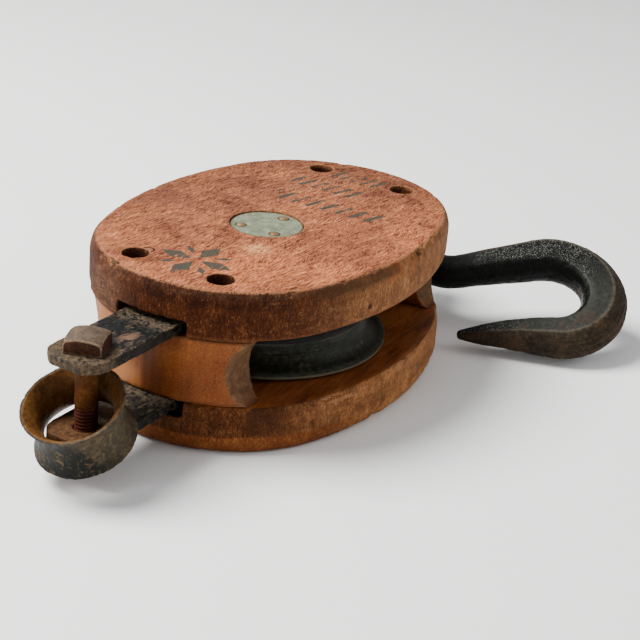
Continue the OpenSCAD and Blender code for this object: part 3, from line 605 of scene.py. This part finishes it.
def filler_wood(name, half_w):
    """Varnished wood of a filler that reaches half_w to either side."""
    L = Look(name, Specular_IOR_Level=0.1, Coat_Weight=0.02, Coat_Roughness=0.3)
    x, y, z = L.xyz
    wear, recess = L.worn()
    g1 = L.grain(L.p, (0.45, 0.45, 0.04), 4, 0.55, 0.4)
    g2 = L.grain(L.p, (1.1, 1.1, 1.6), 4, 0.66, 0.4)
    g3 = L.noise(L.p, 0.045, 3, 0.5, 0.3)
    g = L.linear(L.weigh(g1, 0.14, g2, 0.46, g3, 0.4), 0.36, 0.64)
    col = L.shades(g, (0.0, 88, 42, 15), (0.4, 120, 64, 27), (0.65, 134, 75, 33), (1.0, 164, 102, 52))
    # Painted reflected light: a lighter wedge low on the becket end
    painted_light = L.mul(L.span(y, 0, 9), L.span(z, 38, 30), L.span(x, -84, -90))
    col = L.tint(L.mul(painted_light, 0.5), col, 176, 116, 68)
    col = L.tint(L.mul(L.span(y, 8, 20), L.span(x, -74, -82), 0.7), col, 142, 84, 34)
    # Painted shadow of the strap on the becket end
    shade = L.mul(L.span(y, 5, 0), L.span(y, -14, -3), L.span(z, 50, 44), L.span(x, -84, -89))
    col = L.tint(L.mul(shade, 0.6), col, 70, 34, 14)
    # The hollow ends, where the rope has rubbed, are grey brown
    end = L.mul(L.span(L.abs(L.nxyz[1]), 0.5, 0.8), L.span(L.abs(y), half_w - 11.5, half_w - 9))
    grain = L.shades(L.weigh(g2, 0.5, L.noise(L.p, 0.25, 4, 0.6), 0.5), (0.34, 70, 47, 30), (0.5, 94, 66, 44),
                     (0.66, 118, 88, 62))
    col = L.mix(end, col, grain)
    col = L.tint(L.mul(L.span(wear, 0.35, 0.8), 0.6), col, 176, 126, 84)
    edge = L.most(L.span(z, LOW_IN + 2.4, LOW_IN + 0.3), L.span(z, UP_IN - 2, UP_IN - 0.3))
    col = L.tint(L.mul(edge, L.span(g3, 0.3, 0.6, 0.25, 0.75)), col, 48, 22, 10)
    # Painted shade under the upper cheek at the becket end
    stain_and_shade = L.mul(L.span(z, UP_IN - 12, UP_IN - 3), L.span(L.abs(y), 24, 12), L.span(x, -70, -84))
    col = L.tint(L.mul(stain_and_shade, 0.6), col, 62, 29, 13)
    bits = L.mul(L.span(L.cells(L.p, 0.22), 0.1, 0.05), L.span(g3, 0.45, 0.6))
    col = L.tint(L.mul(bits, 0.8), col, 40, 16, 8)
    col = L.tint(L.mul(recess, 0.6), col, 34, 16, 8)
    nrm = L.bump(L.weigh(g1, 0.4, g2, 0.8), 0.3, 0.7)
    nrm = L.bump(L.noise(L.p, 2.2, 3), 0.05, 0.6, nrm)
    rough = L.blend(end, L.span(g, 0, 1, 0.46, 0.34), 0.72)
    return L.finish(col, rough, nrm)


def strap_paint():
    L = Look("strap_black_paint", Specular_IOR_Level=0.14)
    x, _, z = L.xyz
    wear, recess = L.worn()
    n1 = L.grain(L.p, (0.1, 0.22, 0.3), 5, 0.66, 0.5)
    n2 = L.noise(L.p, 0.55, 5, 0.66, 0.3)
    n3 = L.noise(L.p, 2.4, 2, 0.5)
    paint = L.shades(n2, (0.3, 8, 10, 11), (0.55, 23, 26, 27), (0.8, 46, 50, 49))
    rust = L.shades(L.weigh(n2, 0.6, n3, 0.4), (0.3, 38, 28, 19), (0.5, 70, 57, 43), (0.72, 112, 95, 71))
    outer_end = L.span(L.add(x, L.swing(n1, 40)), -118, -130)
    edge = L.span(L.add(wear, L.swing(n2, 2.2)), 0.3, 0.58)
    patch = L.span(L.weigh(n1, 0.75, n2, 0.25), 0.545, 0.585)
    root = L.mul(L.span(x, -104, -94), L.span(n2, 0.42, 0.54))
    m = L.most(L.mul(outer_end, L.span(n2, 0.3, 0.52)), edge, L.mul(patch, 0.8), L.mul(root, 0.8))
    col = L.mix(m, paint, rust)
    bare = L.grain(L.p, (0.16, 0.34, 0.3), 4, 0.6, 0.8)
    low_tip = L.mul(L.span(z, 30, 26), L.span(L.add(x, L.mul(n1, 8)), -122, -128))
    col = L.mix(L.mul(low_tip, 0.9), col,
                L.shades(n2, (0.3, 48, 29, 14), (0.5, 74, 46, 23), (0.72, 98, 64, 34)))
    spot = L.mul(near(L, -112.5, -6.5, 1, 8, 58.7), L.span(bare, 0.46, 0.5))
    col = L.tint(spot, col, 98, 76, 60)
    grain = L.mul(L.span(L.cells(L.p, 0.42), 0.17, 0.1),
                  L.most(L.mul(L.span(wear, 0.1, 0.35), 0.9), L.span(n1, 0.5, 0.56, 0, 0.5)))
    col = L.tint(grain, col, 150, 124, 82)
    # The bar's side faces, away from its outer end, get painted shade, near black, with a bright line along the
    # arris
    cut = L.mul(L.span(L.abs(L.nxyz[2]), 0.5, 0.2), L.span(x, -136, -128))
    col = L.tint(L.mul(cut, L.span(n2, 0.46, 0.62, 0.96, 0.5)), col, 12, 10, 7)
    col = L.tint(L.mul(L.span(wear, 0.55, 0.9), L.span(n2, 0.4, 0.56, 0.1, 0.75)), col, 128, 112, 84)
    col = L.tint(L.mul(recess, 0.7), col, 9, 7, 5)
    nrm = L.bump(L.weigh(n2, 0.6, m, -0.35), 0.5, 0.75)
    nrm = L.bump(n3, 0.12, 0.7, nrm)
    rough = L.blend(m, L.span(n2, 0.3, 0.7, 0.3, 0.48), 0.8)
    return L.finish(col, rough, nrm, L.mul(m, 0.05))


def bolt_iron():
    L = Look("becket_bolt_iron", Specular_IOR_Level=0.1)
    z = L.xyz[2]
    wear, recess = L.worn()
    n1 = L.noise(L.p, 0.2, 5, 0.62, 0.3)
    n2 = L.noise(L.p, 0.9, 4, 0.6)
    n3 = L.noise(L.p, 3.4, 2, 0.5)
    f = L.linear(L.weigh(n1, 0.4, n2, 0.4, n3, 0.2), 0.34, 0.66)
    side = L.shades(f, (0.0, 28, 12, 6), (0.5, 54, 29, 17), (1.0, 86, 56, 38))
    crown = L.shades(f, (0.0, 50, 38, 30), (0.5, 82, 68, 56), (1.0, 112, 97, 81))
    col = L.mix(L.span(L.nxyz[2], 0.7, 0.92), side, crown)
    shank = L.shades(f, (0.0, 46, 20, 7), (0.5, 76, 42, 14), (1.0, 108, 68, 27))
    thread = L.shades(f, (0.0, 34, 12, 8), (0.5, 62, 25, 17), (1.0, 92, 46, 29))
    shank = L.mix(L.span(L.add(z, L.mul(n1, 5)), 38.5, 33), shank, thread)
    col = L.mix(L.span(z, BOLT_SEAT + 0.25, BOLT_SEAT - 0.35), col, shank)
    col = L.tint(L.mul(L.span(wear, 0.45, 0.8), L.span(n2, 0.3, 0.6, 0.25, 0.7)), col, 134, 114, 92)
    col = L.tint(L.mul(recess, L.span(z, 34, 36, 0.3, 0.7)), col, 16, 7, 4)
    nrm = L.bump(L.add(n2, L.mul(n3, 0.5)), 0.28, 0.7)
    return L.finish(col, L.span(f, 0, 1, 0.5, 0.72), nrm, 0.15)


def thimble_iron():
    L = Look("thimble_iron", Specular_IOR_Level=0.1)
    y, z = L.xyz[1:]
    wear, recess = L.worn()
    inner = L.attr("bore")
    n1 = L.noise(L.p, 0.15, 5, 0.68, 0.25)
    n2 = L.noise(L.p, 0.6, 5, 0.68, 0.15)
    n3 = L.noise(L.p, 2.6, 2, 0.5)
    f = L.weigh(n1, 0.5, n2, 0.38, n3, 0.12)
    skin = L.shades(f, (0.38, 7, 8, 7), (0.49, 19, 21, 18), (0.53, 28, 27, 22), (0.555, 66, 55, 40),
                    (0.66, 98, 82, 60))
    # Painted light: browner and lighter on the side away from the floor's shade
    high = L.weigh(y, -1.0, L.add(z, -14), 0.8)
    skin = L.mix(L.mul(L.span(high, 15, 26), L.span(n1, 0.4, 0.6, 0.5, 0.95)), skin,
                 L.shades(n2, (0.3, 52, 43, 32), (0.55, 80, 68, 50), (0.75, 102, 88, 66)))
    g = L.weigh(L.noise(L.p, 0.09, 3, 0.5), 0.6, n2, 0.4)
    gold = L.shades(g, (0.36, 54, 31, 12), (0.5, 86, 55, 24), (0.64, 118, 82, 40))
    col = L.mix(inner, skin, gold)
    col = L.tint(L.mul(L.span(wear, 0.3, 0.75), 0.8), col, 112, 90, 66)
    col = L.tint(L.mul(recess, 0.6), col, 12, 8, 4)
    nrm = L.bump(L.add(n2, L.mul(n3, 0.4)), 0.24, L.blend(inner, 0.8, 0.25))
    # Painted shade down the bore towards its bottom
    col = L.tint(L.mul(inner, L.span(z, 18, 6), 0.6), col, 24, 13, 4)
    rough = L.blend(inner, L.span(f, 0.4, 0.58, 0.38, 0.7), 0.5)
    return L.finish(col, rough, nrm, L.mul(inner, 0.12))


def hook_iron():
    L = Look("hook_black_iron", Specular_IOR_Level=0.1)
    wear, recess = L.worn()
    flat, side, ridge, along = map(L.attr, ("flat", "side", "ridge", "along"))
    n1 = L.noise(L.p, 0.07, 5, 0.62, 0.3)
    n2 = L.noise(L.p, 0.45, 5, 0.68, 0.2)
    n3 = L.noise(L.p, 2, 3, 0.6)
    black = L.shades(n2, (0.3, 3, 3, 3), (0.5, 6, 7, 6), (0.74, 19, 20, 18))
    grey = L.shades(L.weigh(n2, 0.5, n3, 0.5), (0.35, 32, 33, 30), (0.5, 44, 45, 41), (0.68, 58, 58, 53))
    brown = L.shades(L.weigh(n2, 0.5, n3, 0.5), (0.34, 18, 15, 10), (0.5, 42, 34, 24), (0.66, 72, 58, 41))
    # Painted highlights: bright glints on the upward faces of the shank and near the point
    painted_glints = L.mul(L.span(L.nxyz[2], 0.55, 0.88), L.span(L.noise(L.p, 1.7, 3, 0.7), 0.55, 0.63))
    painted_glints = L.mul(painted_glints, L.most(L.mul(L.span(along, 0.14, 0.26), L.span(along, 0.58, 0.48)),
                                L.mul(L.span(along, 0.8, 0.86), 0.8)))
    black = L.tint(L.mul(painted_glints, L.span(n1, 0.35, 0.55, 0.4, 1)), black, 128, 130, 124)
    col = L.mix(L.mul(side, L.span(n1, 0.28, 0.55, 0.35, 1)), black, brown)
    # Grey on the bowl's flats: worn iron with a painted sheen
    col = L.mix(L.mul(flat, L.span(along, 0.45, 0.62, 0.1, 1), L.span(along, 0.9, 0.78, 0.25, 1)), col, grey)
    reddish = L.mul(L.span(n1, 0.52, 0.62), L.most(side, L.mul(flat, L.span(along, 0.6, 0.75))))
    col = L.tint(L.mul(reddish, 0.38), col, 72, 50, 37)
    col = L.tint(L.mul(ridge, L.span(n2, 0.35, 0.6, 0.2, 0.7)), col, 92, 84, 70)
    col = L.tint(L.mul(L.span(wear, 0.4, 0.95), 0.3), col, 84, 78, 66)
    col = L.tint(L.mul(recess, 0.6), col, 8, 6, 4)
    nrm = L.bump(L.add(n2, L.mul(n3, 0.45)), 0.42, L.blend(flat, 0.8, 0.5))
    rough = L.blend(side, L.span(n2, 0.35, 0.65, 0.28, 0.42), 0.62)
    rough = L.blend(L.mul(flat, L.span(along, 0.45, 0.62)), rough, 0.5)
    return L.finish(col, rough, nrm, 0.1)


def sheave_black():
    L = Look("sheave_black", Specular_IOR_Level=0.12)
    x, y, z = L.xyz
    r = L.vec("LENGTH", L.join(x, y, 0))
    ang = L.m("ARCTAN2", y, x)
    turn = L.join(L.mul(r, 1.4), L.mul(ang, 2), L.mul(z, 1.4))
    lines = L.join(L.mul(ang, 42), 0, L.mul(z, 0.05))
    n0 = L.noise(lines, 1, 4, 0.65)
    n1 = L.noise(turn, 1, 4, 0.6)
    n2 = L.noise(L.p, 0.35, 5, 0.68, 0.3)
    n3 = L.noise(L.p, 1.9, 3, 0.6)
    f = L.weigh(n1, 0.25, n2, 0.5, n0, 0.05, n3, 0.2)
    col = L.shades(f, (0.38, 12, 13, 10), (0.48, 28, 30, 24), (0.56, 46, 46, 38), (0.66, 84, 74, 56))
    # A casting seam runs round the bottom of the groove; the groove above it, which faces down, gets painted
    # shade, near black
    seam_z = L.abs(L.add(z, L.add(-36.6, L.swing(n2, 2))))
    hollow = L.span(r, SHEAVE_R - 7.3, SHEAVE_R - 9.8)
    col = L.tint(L.mul(L.span(z, 36.4, 37.4), L.span(z, 51, 49), L.span(n2, 0.4, 0.6, 0.97, 0.75)),
                 col, 5, 5, 4)
    col = L.tint(L.mul(L.span(seam_z, 0.5, 0.15), hollow, L.span(n1, 0.4, 0.58, 0.1, 0.7)), col, 72, 70, 58)
    specks = L.mul(L.span(L.cells(L.p, 0.5), 0.13, 0.07), hollow)
    col = L.tint(L.mul(specks, 0.5), col, 104, 98, 80)
    rim = L.mul(L.span(r, SHEAVE_R - 3.8, SHEAVE_R - 0.9), L.span(n2, 0.38, 0.58, 0.25, 0.9))
    col = L.tint(rim, col, 70, 71, 62)
    # Painted highlight along the flange's outer edge
    edge = L.mul(L.span(r, SHEAVE_R - 0.7, SHEAVE_R - 0.2), L.span(n1, 0.35, 0.6, 0.35, 1))
    col = L.tint(edge, col, 96, 90, 72)
    nrm = L.bump(L.weigh(n1, 0.3, n3, 0.5, n2, 0.5), 0.3, 0.7)
    return L.finish(col, L.span(f, 0.4, 0.62, 0.28, 0.52), nrm, 0.1)


def plate_zinc():
    L = Look("pin_plate_zinc", Specular_IOR_Level=0.2)
    x, y = L.xyz[:2]
    n1 = L.noise(L.p, 0.22, 5, 0.62, 0.3)
    n2 = L.noise(L.p, 1.4, 4, 0.6)
    n3 = L.grain(L.p, (0.5, 4, 1), 3, 0.5, turn=35)
    f = L.linear(L.weigh(n1, 0.5, n2, 0.3, n3, 0.2), 0.36, 0.64)
    col = L.shades(f, (0.0, 82, 86, 70), (0.5, 112, 118, 97), (1.0, 142, 146, 124))
    r = L.vec("LENGTH", L.join(x, y, 0))
    col = L.tint(L.mul(L.span(r, PLATE_R - 1.6, PLATE_R), 0.6), col, 62, 56, 40)
    # Painted shadow: a dark ring round each nail head
    for a in NAIL_ANGLES:
        nx, ny = NAIL_CIRCLE * math.cos(math.radians(a)), NAIL_CIRCLE * math.sin(math.radians(a))
        col = L.tint(L.mul(near(L, nx, ny, 2.5, 3.3), 0.95), col, 38, 25, 15)
    nrm = L.bump(L.weigh(n1, 1.0, n2, 0.4), 0.35, 0.6)
    return L.finish(col, L.span(f, 0, 1, 0.6, 0.42), nrm, 0.1)


def plain_iron(name, dark, light, rough, metal, spec=0.4):
    """Iron or copper of a piece that shows little."""
    L = Look(name, Specular_IOR_Level=spec)
    n1 = L.noise(L.p, 0.4, 5, 0.62, 0.2)
    n2 = L.noise(L.p, 2.2, 3, 0.6)
    f = L.linear(L.weigh(n1, 0.6, n2, 0.4), 0.34, 0.66)
    nrm = L.bump(n2, 0.12, 0.7)
    return L.finish(L.mix(f, dark, light), L.span(f, 0, 1, rough, rough + 0.15), nrm, metal)


# Shapes

def oval_inside(co):
    """Distance in from the oval's edge, in millimetres."""
    x = co[:, 0] - SHELL_MID
    y = co[:, 1]
    r = np.sqrt((x / HALF_L) ** 2 + (y / HALF_W) ** 2)
    return (1 - r) * np.sqrt((x * x + y * y) / np.maximum(r * r, 1e-9))


def cheek_shape(upper):
    seed = 11 if upper else 29
    dent_places, cracks = (UPPER_DENTS, UPPER_CRACKS) if upper else (LOWER_DENTS, LOWER_CRACKS)

    def shape(co, no):
        nz = no[:, 2] if upper else -no[:, 2]
        rim = step(nz, 0.15, 0.5) * (1 - step(nz, 0.9, 0.995)) * (oval_inside(co) < 12)
        face = step(nz, 0.8, 0.97)
        side = 1 - step(np.abs(no[:, 2]), 0.4, 0.8)
        # Fibres, which run 11 degrees off the block's length on the faces and upright on the edge
        g = np.column_stack((co[:, 0] * 0.98 + co[:, 1] * 0.19, co[:, 1] * 0.98 - co[:, 0] * 0.19, co[:, 2]))
        d = -0.16 * swell(co, 21.0, 2, seed)
        d -= 0.13 * face * spots(g, (16.0, 2.6, 3.0), 2, seed + 3, 0.35, 1.2)
        d -= 0.15 * side * spots(co, (2.4, 2.4, 14.0), 2, seed + 5, 0.3, 1.2)
        # Chips and wear of the rounding
        d -= 1.9 * rim * spots(co, 4.5, 3, seed + 7, -0.16)
        d -= 0.25 * rim * swell(co, 9.0, 2, seed + 9)
        d += dents(co, dent_places)
        for cx, cy, length, ang in cracks:
            a = math.radians(ang)
            u = (co[:, 0] - cx) * math.cos(a) + (co[:, 1] - cy) * math.sin(a)
            v = -(co[:, 0] - cx) * math.sin(a) + (co[:, 1] - cy) * math.cos(a)
            v = v + 0.9 * fbm(np.column_stack((u / 7.0, u * 0, u * 0)), 2, seed + 13)
            d -= 0.5 * face * np.exp(-(v / 0.55) ** 2) * np.clip(1 - (u / (length / 2)) ** 2, 0, 1)
        return d
    return shape


def filler_shape(seed):
    def shape(co, no):
        side = 1 - step(np.abs(no[:, 2]), 0.4, 0.8)
        d = -0.10 * swell(co, 16.0, 2, seed)
        d -= 0.08 * side * spots(co, (2.6, 2.6, 16.0), 2, seed + 2, 0.3, 1.2)
        ends = step(np.abs(no[:, 1]), 0.5, 0.8)
        d -= 0.35 * ends * spots(co, 3.0, 3, seed + 4, 0.1)
        return d
    return shape


def strap_shape(co, no):
    flat = step(np.abs(no[:, 2]), 0.6, 0.95)
    edge = 1 - step(np.abs(no[:, 2]), 0.9, 0.999)
    d = -0.14 * swell(co, 9.0, 3, 51)
    d -= 0.18 * flat * spots(co, 2.4, 3, 53, -0.05)
    d -= 0.55 * edge * spots(co, 3.6, 2, 55, 0.1)
    return d


def hook_line():
    """Points of the middle line, about 0.6 mm apart: sideways, away from the eye, direction, distance."""
    neck = math.radians(NECK_ANGLE)
    x, y, d = EYE_RING_R * math.sin(neck), EYE_RING_R * math.cos(neck), 0.0
    rows = []
    for length, h0, h1 in HOOK_STEPS:
        n = max(4, int(length / 0.6))
        for i in range(n):
            h = math.radians(h0 + (h1 - h0) * (i + 0.5) / n)
            rows.append((x, y, h, d))
            x += length / n * math.sin(h)
            y += length / n * math.cos(h)
            d += length / n
    return np.array(rows)


def along_hook(co):
    """Distance along the hook, place across it and off its plane, and the plane's own axis."""
    cl, sl, t = math.cos(HOOK_LEAN), math.sin(HOOK_LEAN), math.tan(HOOK_FALL)
    side = np.array([cl, 0, sl])
    up = np.array([-sl, -cl * t, cl])
    up /= np.linalg.norm(up)
    away = np.cross(side, up)
    q = co - np.array(HOOK_PIVOT)
    px, py, v = q @ side, q @ away, q @ up
    line = hook_line()
    best = np.zeros(len(co), int)
    batch = 20000
    for i in range(0, len(co), batch):
        s = slice(i, i + batch)
        d2 = (px[s, None] - line[:, 0]) ** 2 + (py[s, None] - line[:, 1]) ** 2
        best[s] = d2.argmin(1)
    near_point = line[best]
    dx, dy, h = px - near_point[:, 0], py - near_point[:, 1], near_point[:, 2]
    return near_point[:, 3] + dx * np.sin(h) + dy * np.cos(h), dx * np.cos(h) - dy * np.sin(h), v, up


def hook_radius(d):
    back = NECK_R + (BOWL_R - NECK_R) * step(d, SWELL_FROM, SWELL_TO)
    taper = np.clip((d - TAPER_FROM) / (HOOK_END - TAPER_FROM), 0, 1) ** 2.3
    return np.where(d > TAPER_FROM, BOWL_R - (BOWL_R - POINT_R) * taper, back)


def hook_parts(co, no):
    """Distance along the hook, places across and out of it as shares of its radius, the radius, how far the
    bowl's flats have come, where their ridge lies, and how far the normal leaves the hook's plane."""
    d, u, v, up = along_hook(co)
    r = hook_radius(d)
    flats = step(d, 42.0, 74.0) * (1 - step(d, 196.0, 210.0))
    ridge = 0.44 - 0.26 * step(d, 105.0, 165.0)
    return d, u / r, v / r, r, flats, ridge, np.abs(no @ up)


def hook_marks(co, no):
    d, u, v, _, flats, ridge, nv = hook_parts(co, no)
    over = np.clip(np.maximum(v, 0) * 3, 0, 1)
    outside = step(u, ridge - 0.02, ridge + 0.10)
    return {
        "flat": flats * (1 - outside) * step(u, -0.80, -0.66) * step(nv, 0.75, 0.92),
        "side": step(d, 30.0, 60.0) * np.maximum(outside, (1 - over) * step(d, 95.0, 130.0)),
        "ridge": flats * np.exp(-((u - ridge) / 0.055) ** 2) * step(nv, 0.3, 0.6),
        "along": np.clip(d / 216.0, 0, 1),
    }


def hook_shape(co, no):
    _, u, _, r, flats, ridge, nv = hook_parts(co, no)
    d = -flats * 0.30 * r * np.clip((u - ridge) / (1 - ridge), 0, 1) * nv
    d -= 0.26 * swell(co, 12.0, 2, 61)
    d -= 0.26 * spots(co, 4.2, 3, 63, 0.02)
    d -= 0.45 * spots(co, 1.9, 2, 65, -0.22)
    return d


def thimble_shape(co, _):
    d = -0.16 * swell(co, 6.0, 2, 71)
    d -= 0.30 * spots(co, 1.9, 3, 73, -0.05)
    return d


def thimble_marks(co, no):
    """The bore, whose normals point to the thimble's axis and which the bolt has polished."""
    tilt = math.radians(THIMBLE_TILT)
    axis = np.array([-math.sin(tilt), 0, math.cos(tilt)])
    rel = co - (co.min(0) + co.max(0)) / 2
    radial = rel - np.outer(rel @ axis, axis)
    toward = np.einsum("ij,ij->i", radial, no) / np.maximum(np.linalg.norm(radial, axis=1), 1e-6)
    return {"bore": step(-toward, -0.1, 0.4)}


def bolt_radius(z, low, turn):
    """Radius of shank and thread at height z, for a turn from 0 to 1 once round; the bolt begins at low."""
    r = SHANK_R - 0.05 * math.sin(z * 0.7 + math.sin(4 * math.pi * turn))
    if z < THREAD_TOP:
        t = (z / THREAD_PITCH - turn) % 1.0
        crest = min(1.0, max(0.0, (0.9 - abs(2 * t - 1)) / 0.8))
        fade = min(1.0, max(0.0, (THREAD_TOP - z) / THREAD_PITCH))
        r = THREAD_R - (1 - crest) * THREAD_DEPTH * fade
    if z < low + 1.0:
        r = min(r, BOLT_END_R + (z - low) * 0.9)
    return r


def becket_bolt(mat):
    """The square headed bolt with a rolled thread at its low end."""
    lo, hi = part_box("becket_bolt")
    cx, cy = (lo.x + hi.x) / 2 / MM, (lo.y + hi.y) / 2 / MM
    low, top = lo.z / MM, hi.z / MM
    bm = bmesh.new()

    def new_vert(x, y, z):
        return bm.verts.new(((cx + x) * MM, (cy + y) * MM, z * MM))

    # Shank: rings of points that reach a little way into the head
    seg, dz = 72, 0.16
    rings = []
    for i in range(int((BOLT_SEAT + 0.4 - low) / dz) + 1):
        z = low + i * dz
        ring = []
        for k in range(seg):
            a, r = 2 * math.pi * k / seg, bolt_radius(z, low, k / seg)
            ring.append(new_vert(r * math.cos(a), r * math.sin(a), z))
        rings.append(ring)
    for a, b in zip(rings, rings[1:]):
        for k in range(seg):
            bm.faces.new((a[k], a[(k + 1) % seg], b[(k + 1) % seg], b[k]))
    bm.faces.new(list(reversed(rings[0])))
    bm.faces.new(rings[-1])

    # Head: a dense grid block whose top is domed and whose corners are worn
    n, layers = 30, 9
    corner = math.sqrt(2) * HEAD_HALF
    dome_r = (corner ** 2 + HEAD_DOME ** 2) / (2 * HEAD_DOME)
    grid = {}

    def head_point(i, j, k):
        u, v = (2 * i / n - 1) * HEAD_HALF, (2 * j / n - 1) * HEAD_HALF
        z_top = top - dome_r + math.sqrt(dome_r ** 2 - min(u * u + v * v, corner ** 2))
        z = BOLT_SEAT + (z_top - BOLT_SEAT) * k / layers
        worn = 0.45 * (abs(u / HEAD_HALF) ** 14 + abs(v / HEAD_HALF) ** 14) * (k / layers) ** 6
        foot = 0.3 * (1 - k / layers) ** 8
        s = 1 - (worn + foot) * 0.055 - 0.02 * (abs(u * v) / HEAD_HALF ** 2) ** 6
        return u * s, v * s, z - worn * 0.5

    def vert(i, j, k):
        if (i, j, k) not in grid:
            u, v, z = head_point(i, j, k)
            q = np.array([[u / 3.1, v / 3.1, z / 3.1]])
            s = 1 - 0.012 * abs(float(fbm(q, 2, 81)[0]))
            z -= 0.22 * abs(float(fbm(q * 0.8, 2, 83)[0])) * (k / layers)
            c, d = s * math.cos(HEAD_TURN), s * math.sin(HEAD_TURN)
            grid[i, j, k] = new_vert(u * c - v * d, u * d + v * c, z)
        return grid[i, j, k]

    def face(*corners):
        bm.faces.new([vert(*c) for c in corners])

    for i in range(n):
        for j in range(n):
            face((i, j, layers), (i + 1, j, layers), (i + 1, j + 1, layers), (i, j + 1, layers))
            face((i, j, 0), (i, j + 1, 0), (i + 1, j + 1, 0), (i + 1, j, 0))
    for k in range(layers):
        for i in range(n):
            face((i, 0, k), (i + 1, 0, k), (i + 1, 0, k + 1), (i, 0, k + 1))
            face((i + 1, n, k), (i, n, k), (i, n, k + 1), (i + 1, n, k + 1))
            face((0, i + 1, k), (0, i, k), (0, i, k + 1), (0, i + 1, k + 1))
            face((n, i, k), (n, i + 1, k), (n, i + 1, k + 1), (n, i, k + 1))
    mesh = bpy.data.meshes.new("becket_bolt_threaded")
    bm.normal_update()
    bm.to_mesh(mesh)
    bm.free()
    ob = new_object("becket_bolt_threaded", mesh)
    wear_attributes(mesh, 0.45, 1)
    dress(ob, mat)
    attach(ob, "shell")
    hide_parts("becket_bolt")


# Worn copies: node, body, voxel in millimetres, rounds of smoothing, shape, material and marks

carve("upper_cheek", "shell", 0.85, 2, cheek_shape(True), cheek_wood("upper_cheek_wood", True))
carve("lower_cheek", "shell", 0.85, 2, cheek_shape(False), cheek_wood("lower_cheek_wood", False))
carve("becket_filler", "shell", 0.8, 2, filler_shape(41), filler_wood("becket_filler_wood", 43.5))
carve("hook_filler", "shell", 0.8, 2, filler_shape(47), filler_wood("hook_filler_wood", 52.5))
carve("strap", "shell", 0.65, 1, strap_shape, strap_paint())
carve("hook", "hook", 0.6, 3, hook_shape, hook_iron(), hook_marks)
carve("thimble", "thimble", 0.45, 2, thimble_shape, thimble_iron(), thimble_marks)
becket_bolt(bolt_iron())

# Nodes that are shown as they are, in their own material
CARRIED = {
    "sheave": sheave_black(),
    "sheave_bush": plain_iron("bush_iron", rgb(38, 36, 33), rgb(78, 74, 68), 0.35, 0.5),
    "centre_pin": plain_iron("pin_iron", rgb(42, 40, 36), rgb(88, 82, 74), 0.32, 0.6),
    "shell_rivets": plain_iron("rivet_iron", rgb(70, 40, 26), rgb(128, 86, 62), 0.6, 0.1, 0.2),
    "rivet_burrs": plain_iron("burr_iron", rgb(54, 36, 22), rgb(108, 82, 54), 0.55, 0.2, 0.2),
    "upper_plate_nails": plain_iron("nail_copper", rgb(92, 64, 40), rgb(150, 118, 80), 0.4, 0.3),
}
CARRIED["lower_plate_nails"] = CARRIED["upper_plate_nails"]
CARRIED["upper_pin_plate"] = plate_zinc()
CARRIED["lower_pin_plate"] = CARRIED["upper_pin_plate"]
for node, mat in CARRIED.items():
    paint(NODES[node].data, mat)

# Floor, light and camera, in metres

FLOOR_HALF, FLOOR_Z = 6, -0.0002
floor_mesh = bpy.data.meshes.new("floor")
floor_mesh.from_pydata([(x * FLOOR_HALF, y * FLOOR_HALF, 0) for x, y in ((-1, -1), (1, -1), (1, 1), (-1, 1))],
                       [], [(0, 1, 2, 3)])
floor = new_object("floor", floor_mesh)
floor.location.z = FLOOR_Z
F = Look("floor_white")
floor_white = F.mix(F.noise(F.p, 0.002, 2.0), (0.93, 0.93, 0.93, 1), (0.95, 0.95, 0.95, 1))
paint(floor_mesh, F.finish(floor_white, 0.9))


def area(name, where, at, size, power, color=(1, 1, 1)):
    """A round light that points at a place."""
    light = bpy.data.lights.new(name, "AREA")
    light.shape = "DISK"
    light.size = size
    light.energy = power
    light.color = color
    ob = new_object(name, light)
    ob.location = where
    ob.rotation_mode = "QUATERNION"
    ob.rotation_quaternion = (Vector(at) - Vector(where)).to_track_quat("-Z", "Y")


area("key", (-0.35, 0.75, 1.25), (0.0, 0.0, 0.04), 0.9, 58.0, (1.0, 0.985, 0.96))
area("fill", (0.55, -1.05, 0.75), (0.02, 0.0, 0.04), 0.8, 4.0, (0.97, 0.985, 1.0))
area("left", (-1.15, 0.15, 0.5), (-0.1, 0.0, 0.04), 0.6, 3.0)
world = bpy.data.worlds.new("studio")
bpy.context.scene.world = world
world.use_nodes = True
background = world.node_tree.nodes["Background"]
background.inputs[0].default_value = WHITE
background.inputs[1].default_value = 0.45

# The camera fitted to the photograph: its place, the directions to its right and forwards, and its focal
# length in the photograph's pixels
PHOTO_WIDTH, FOCAL_LENGTH, SENSOR = 640, 1575.1, 36.0
CAMERA_AT = (-0.5918, -0.3634, 0.3329)
CAMERA_RIGHT, CAMERA_AHEAD = (0.5162, -0.8527, 0.0799), (0.8, 0.4468, -0.4004)
lens = bpy.data.cameras.new("camera")
lens.sensor_width = SENSOR
lens.lens = FOCAL_LENGTH / PHOTO_WIDTH * SENSOR
lens.clip_start = 0.01
lens.clip_end = 30
camera = new_object("camera", lens)
back = -Vector(CAMERA_AHEAD).normalized()
up = back.cross(Vector(CAMERA_RIGHT).normalized()).normalized()
right = up.cross(back).normalized()
camera.matrix_world = Matrix.Translation(CAMERA_AT) @ Matrix((right, up, back)).transposed().to_4x4()
bpy.context.scene.camera = camera
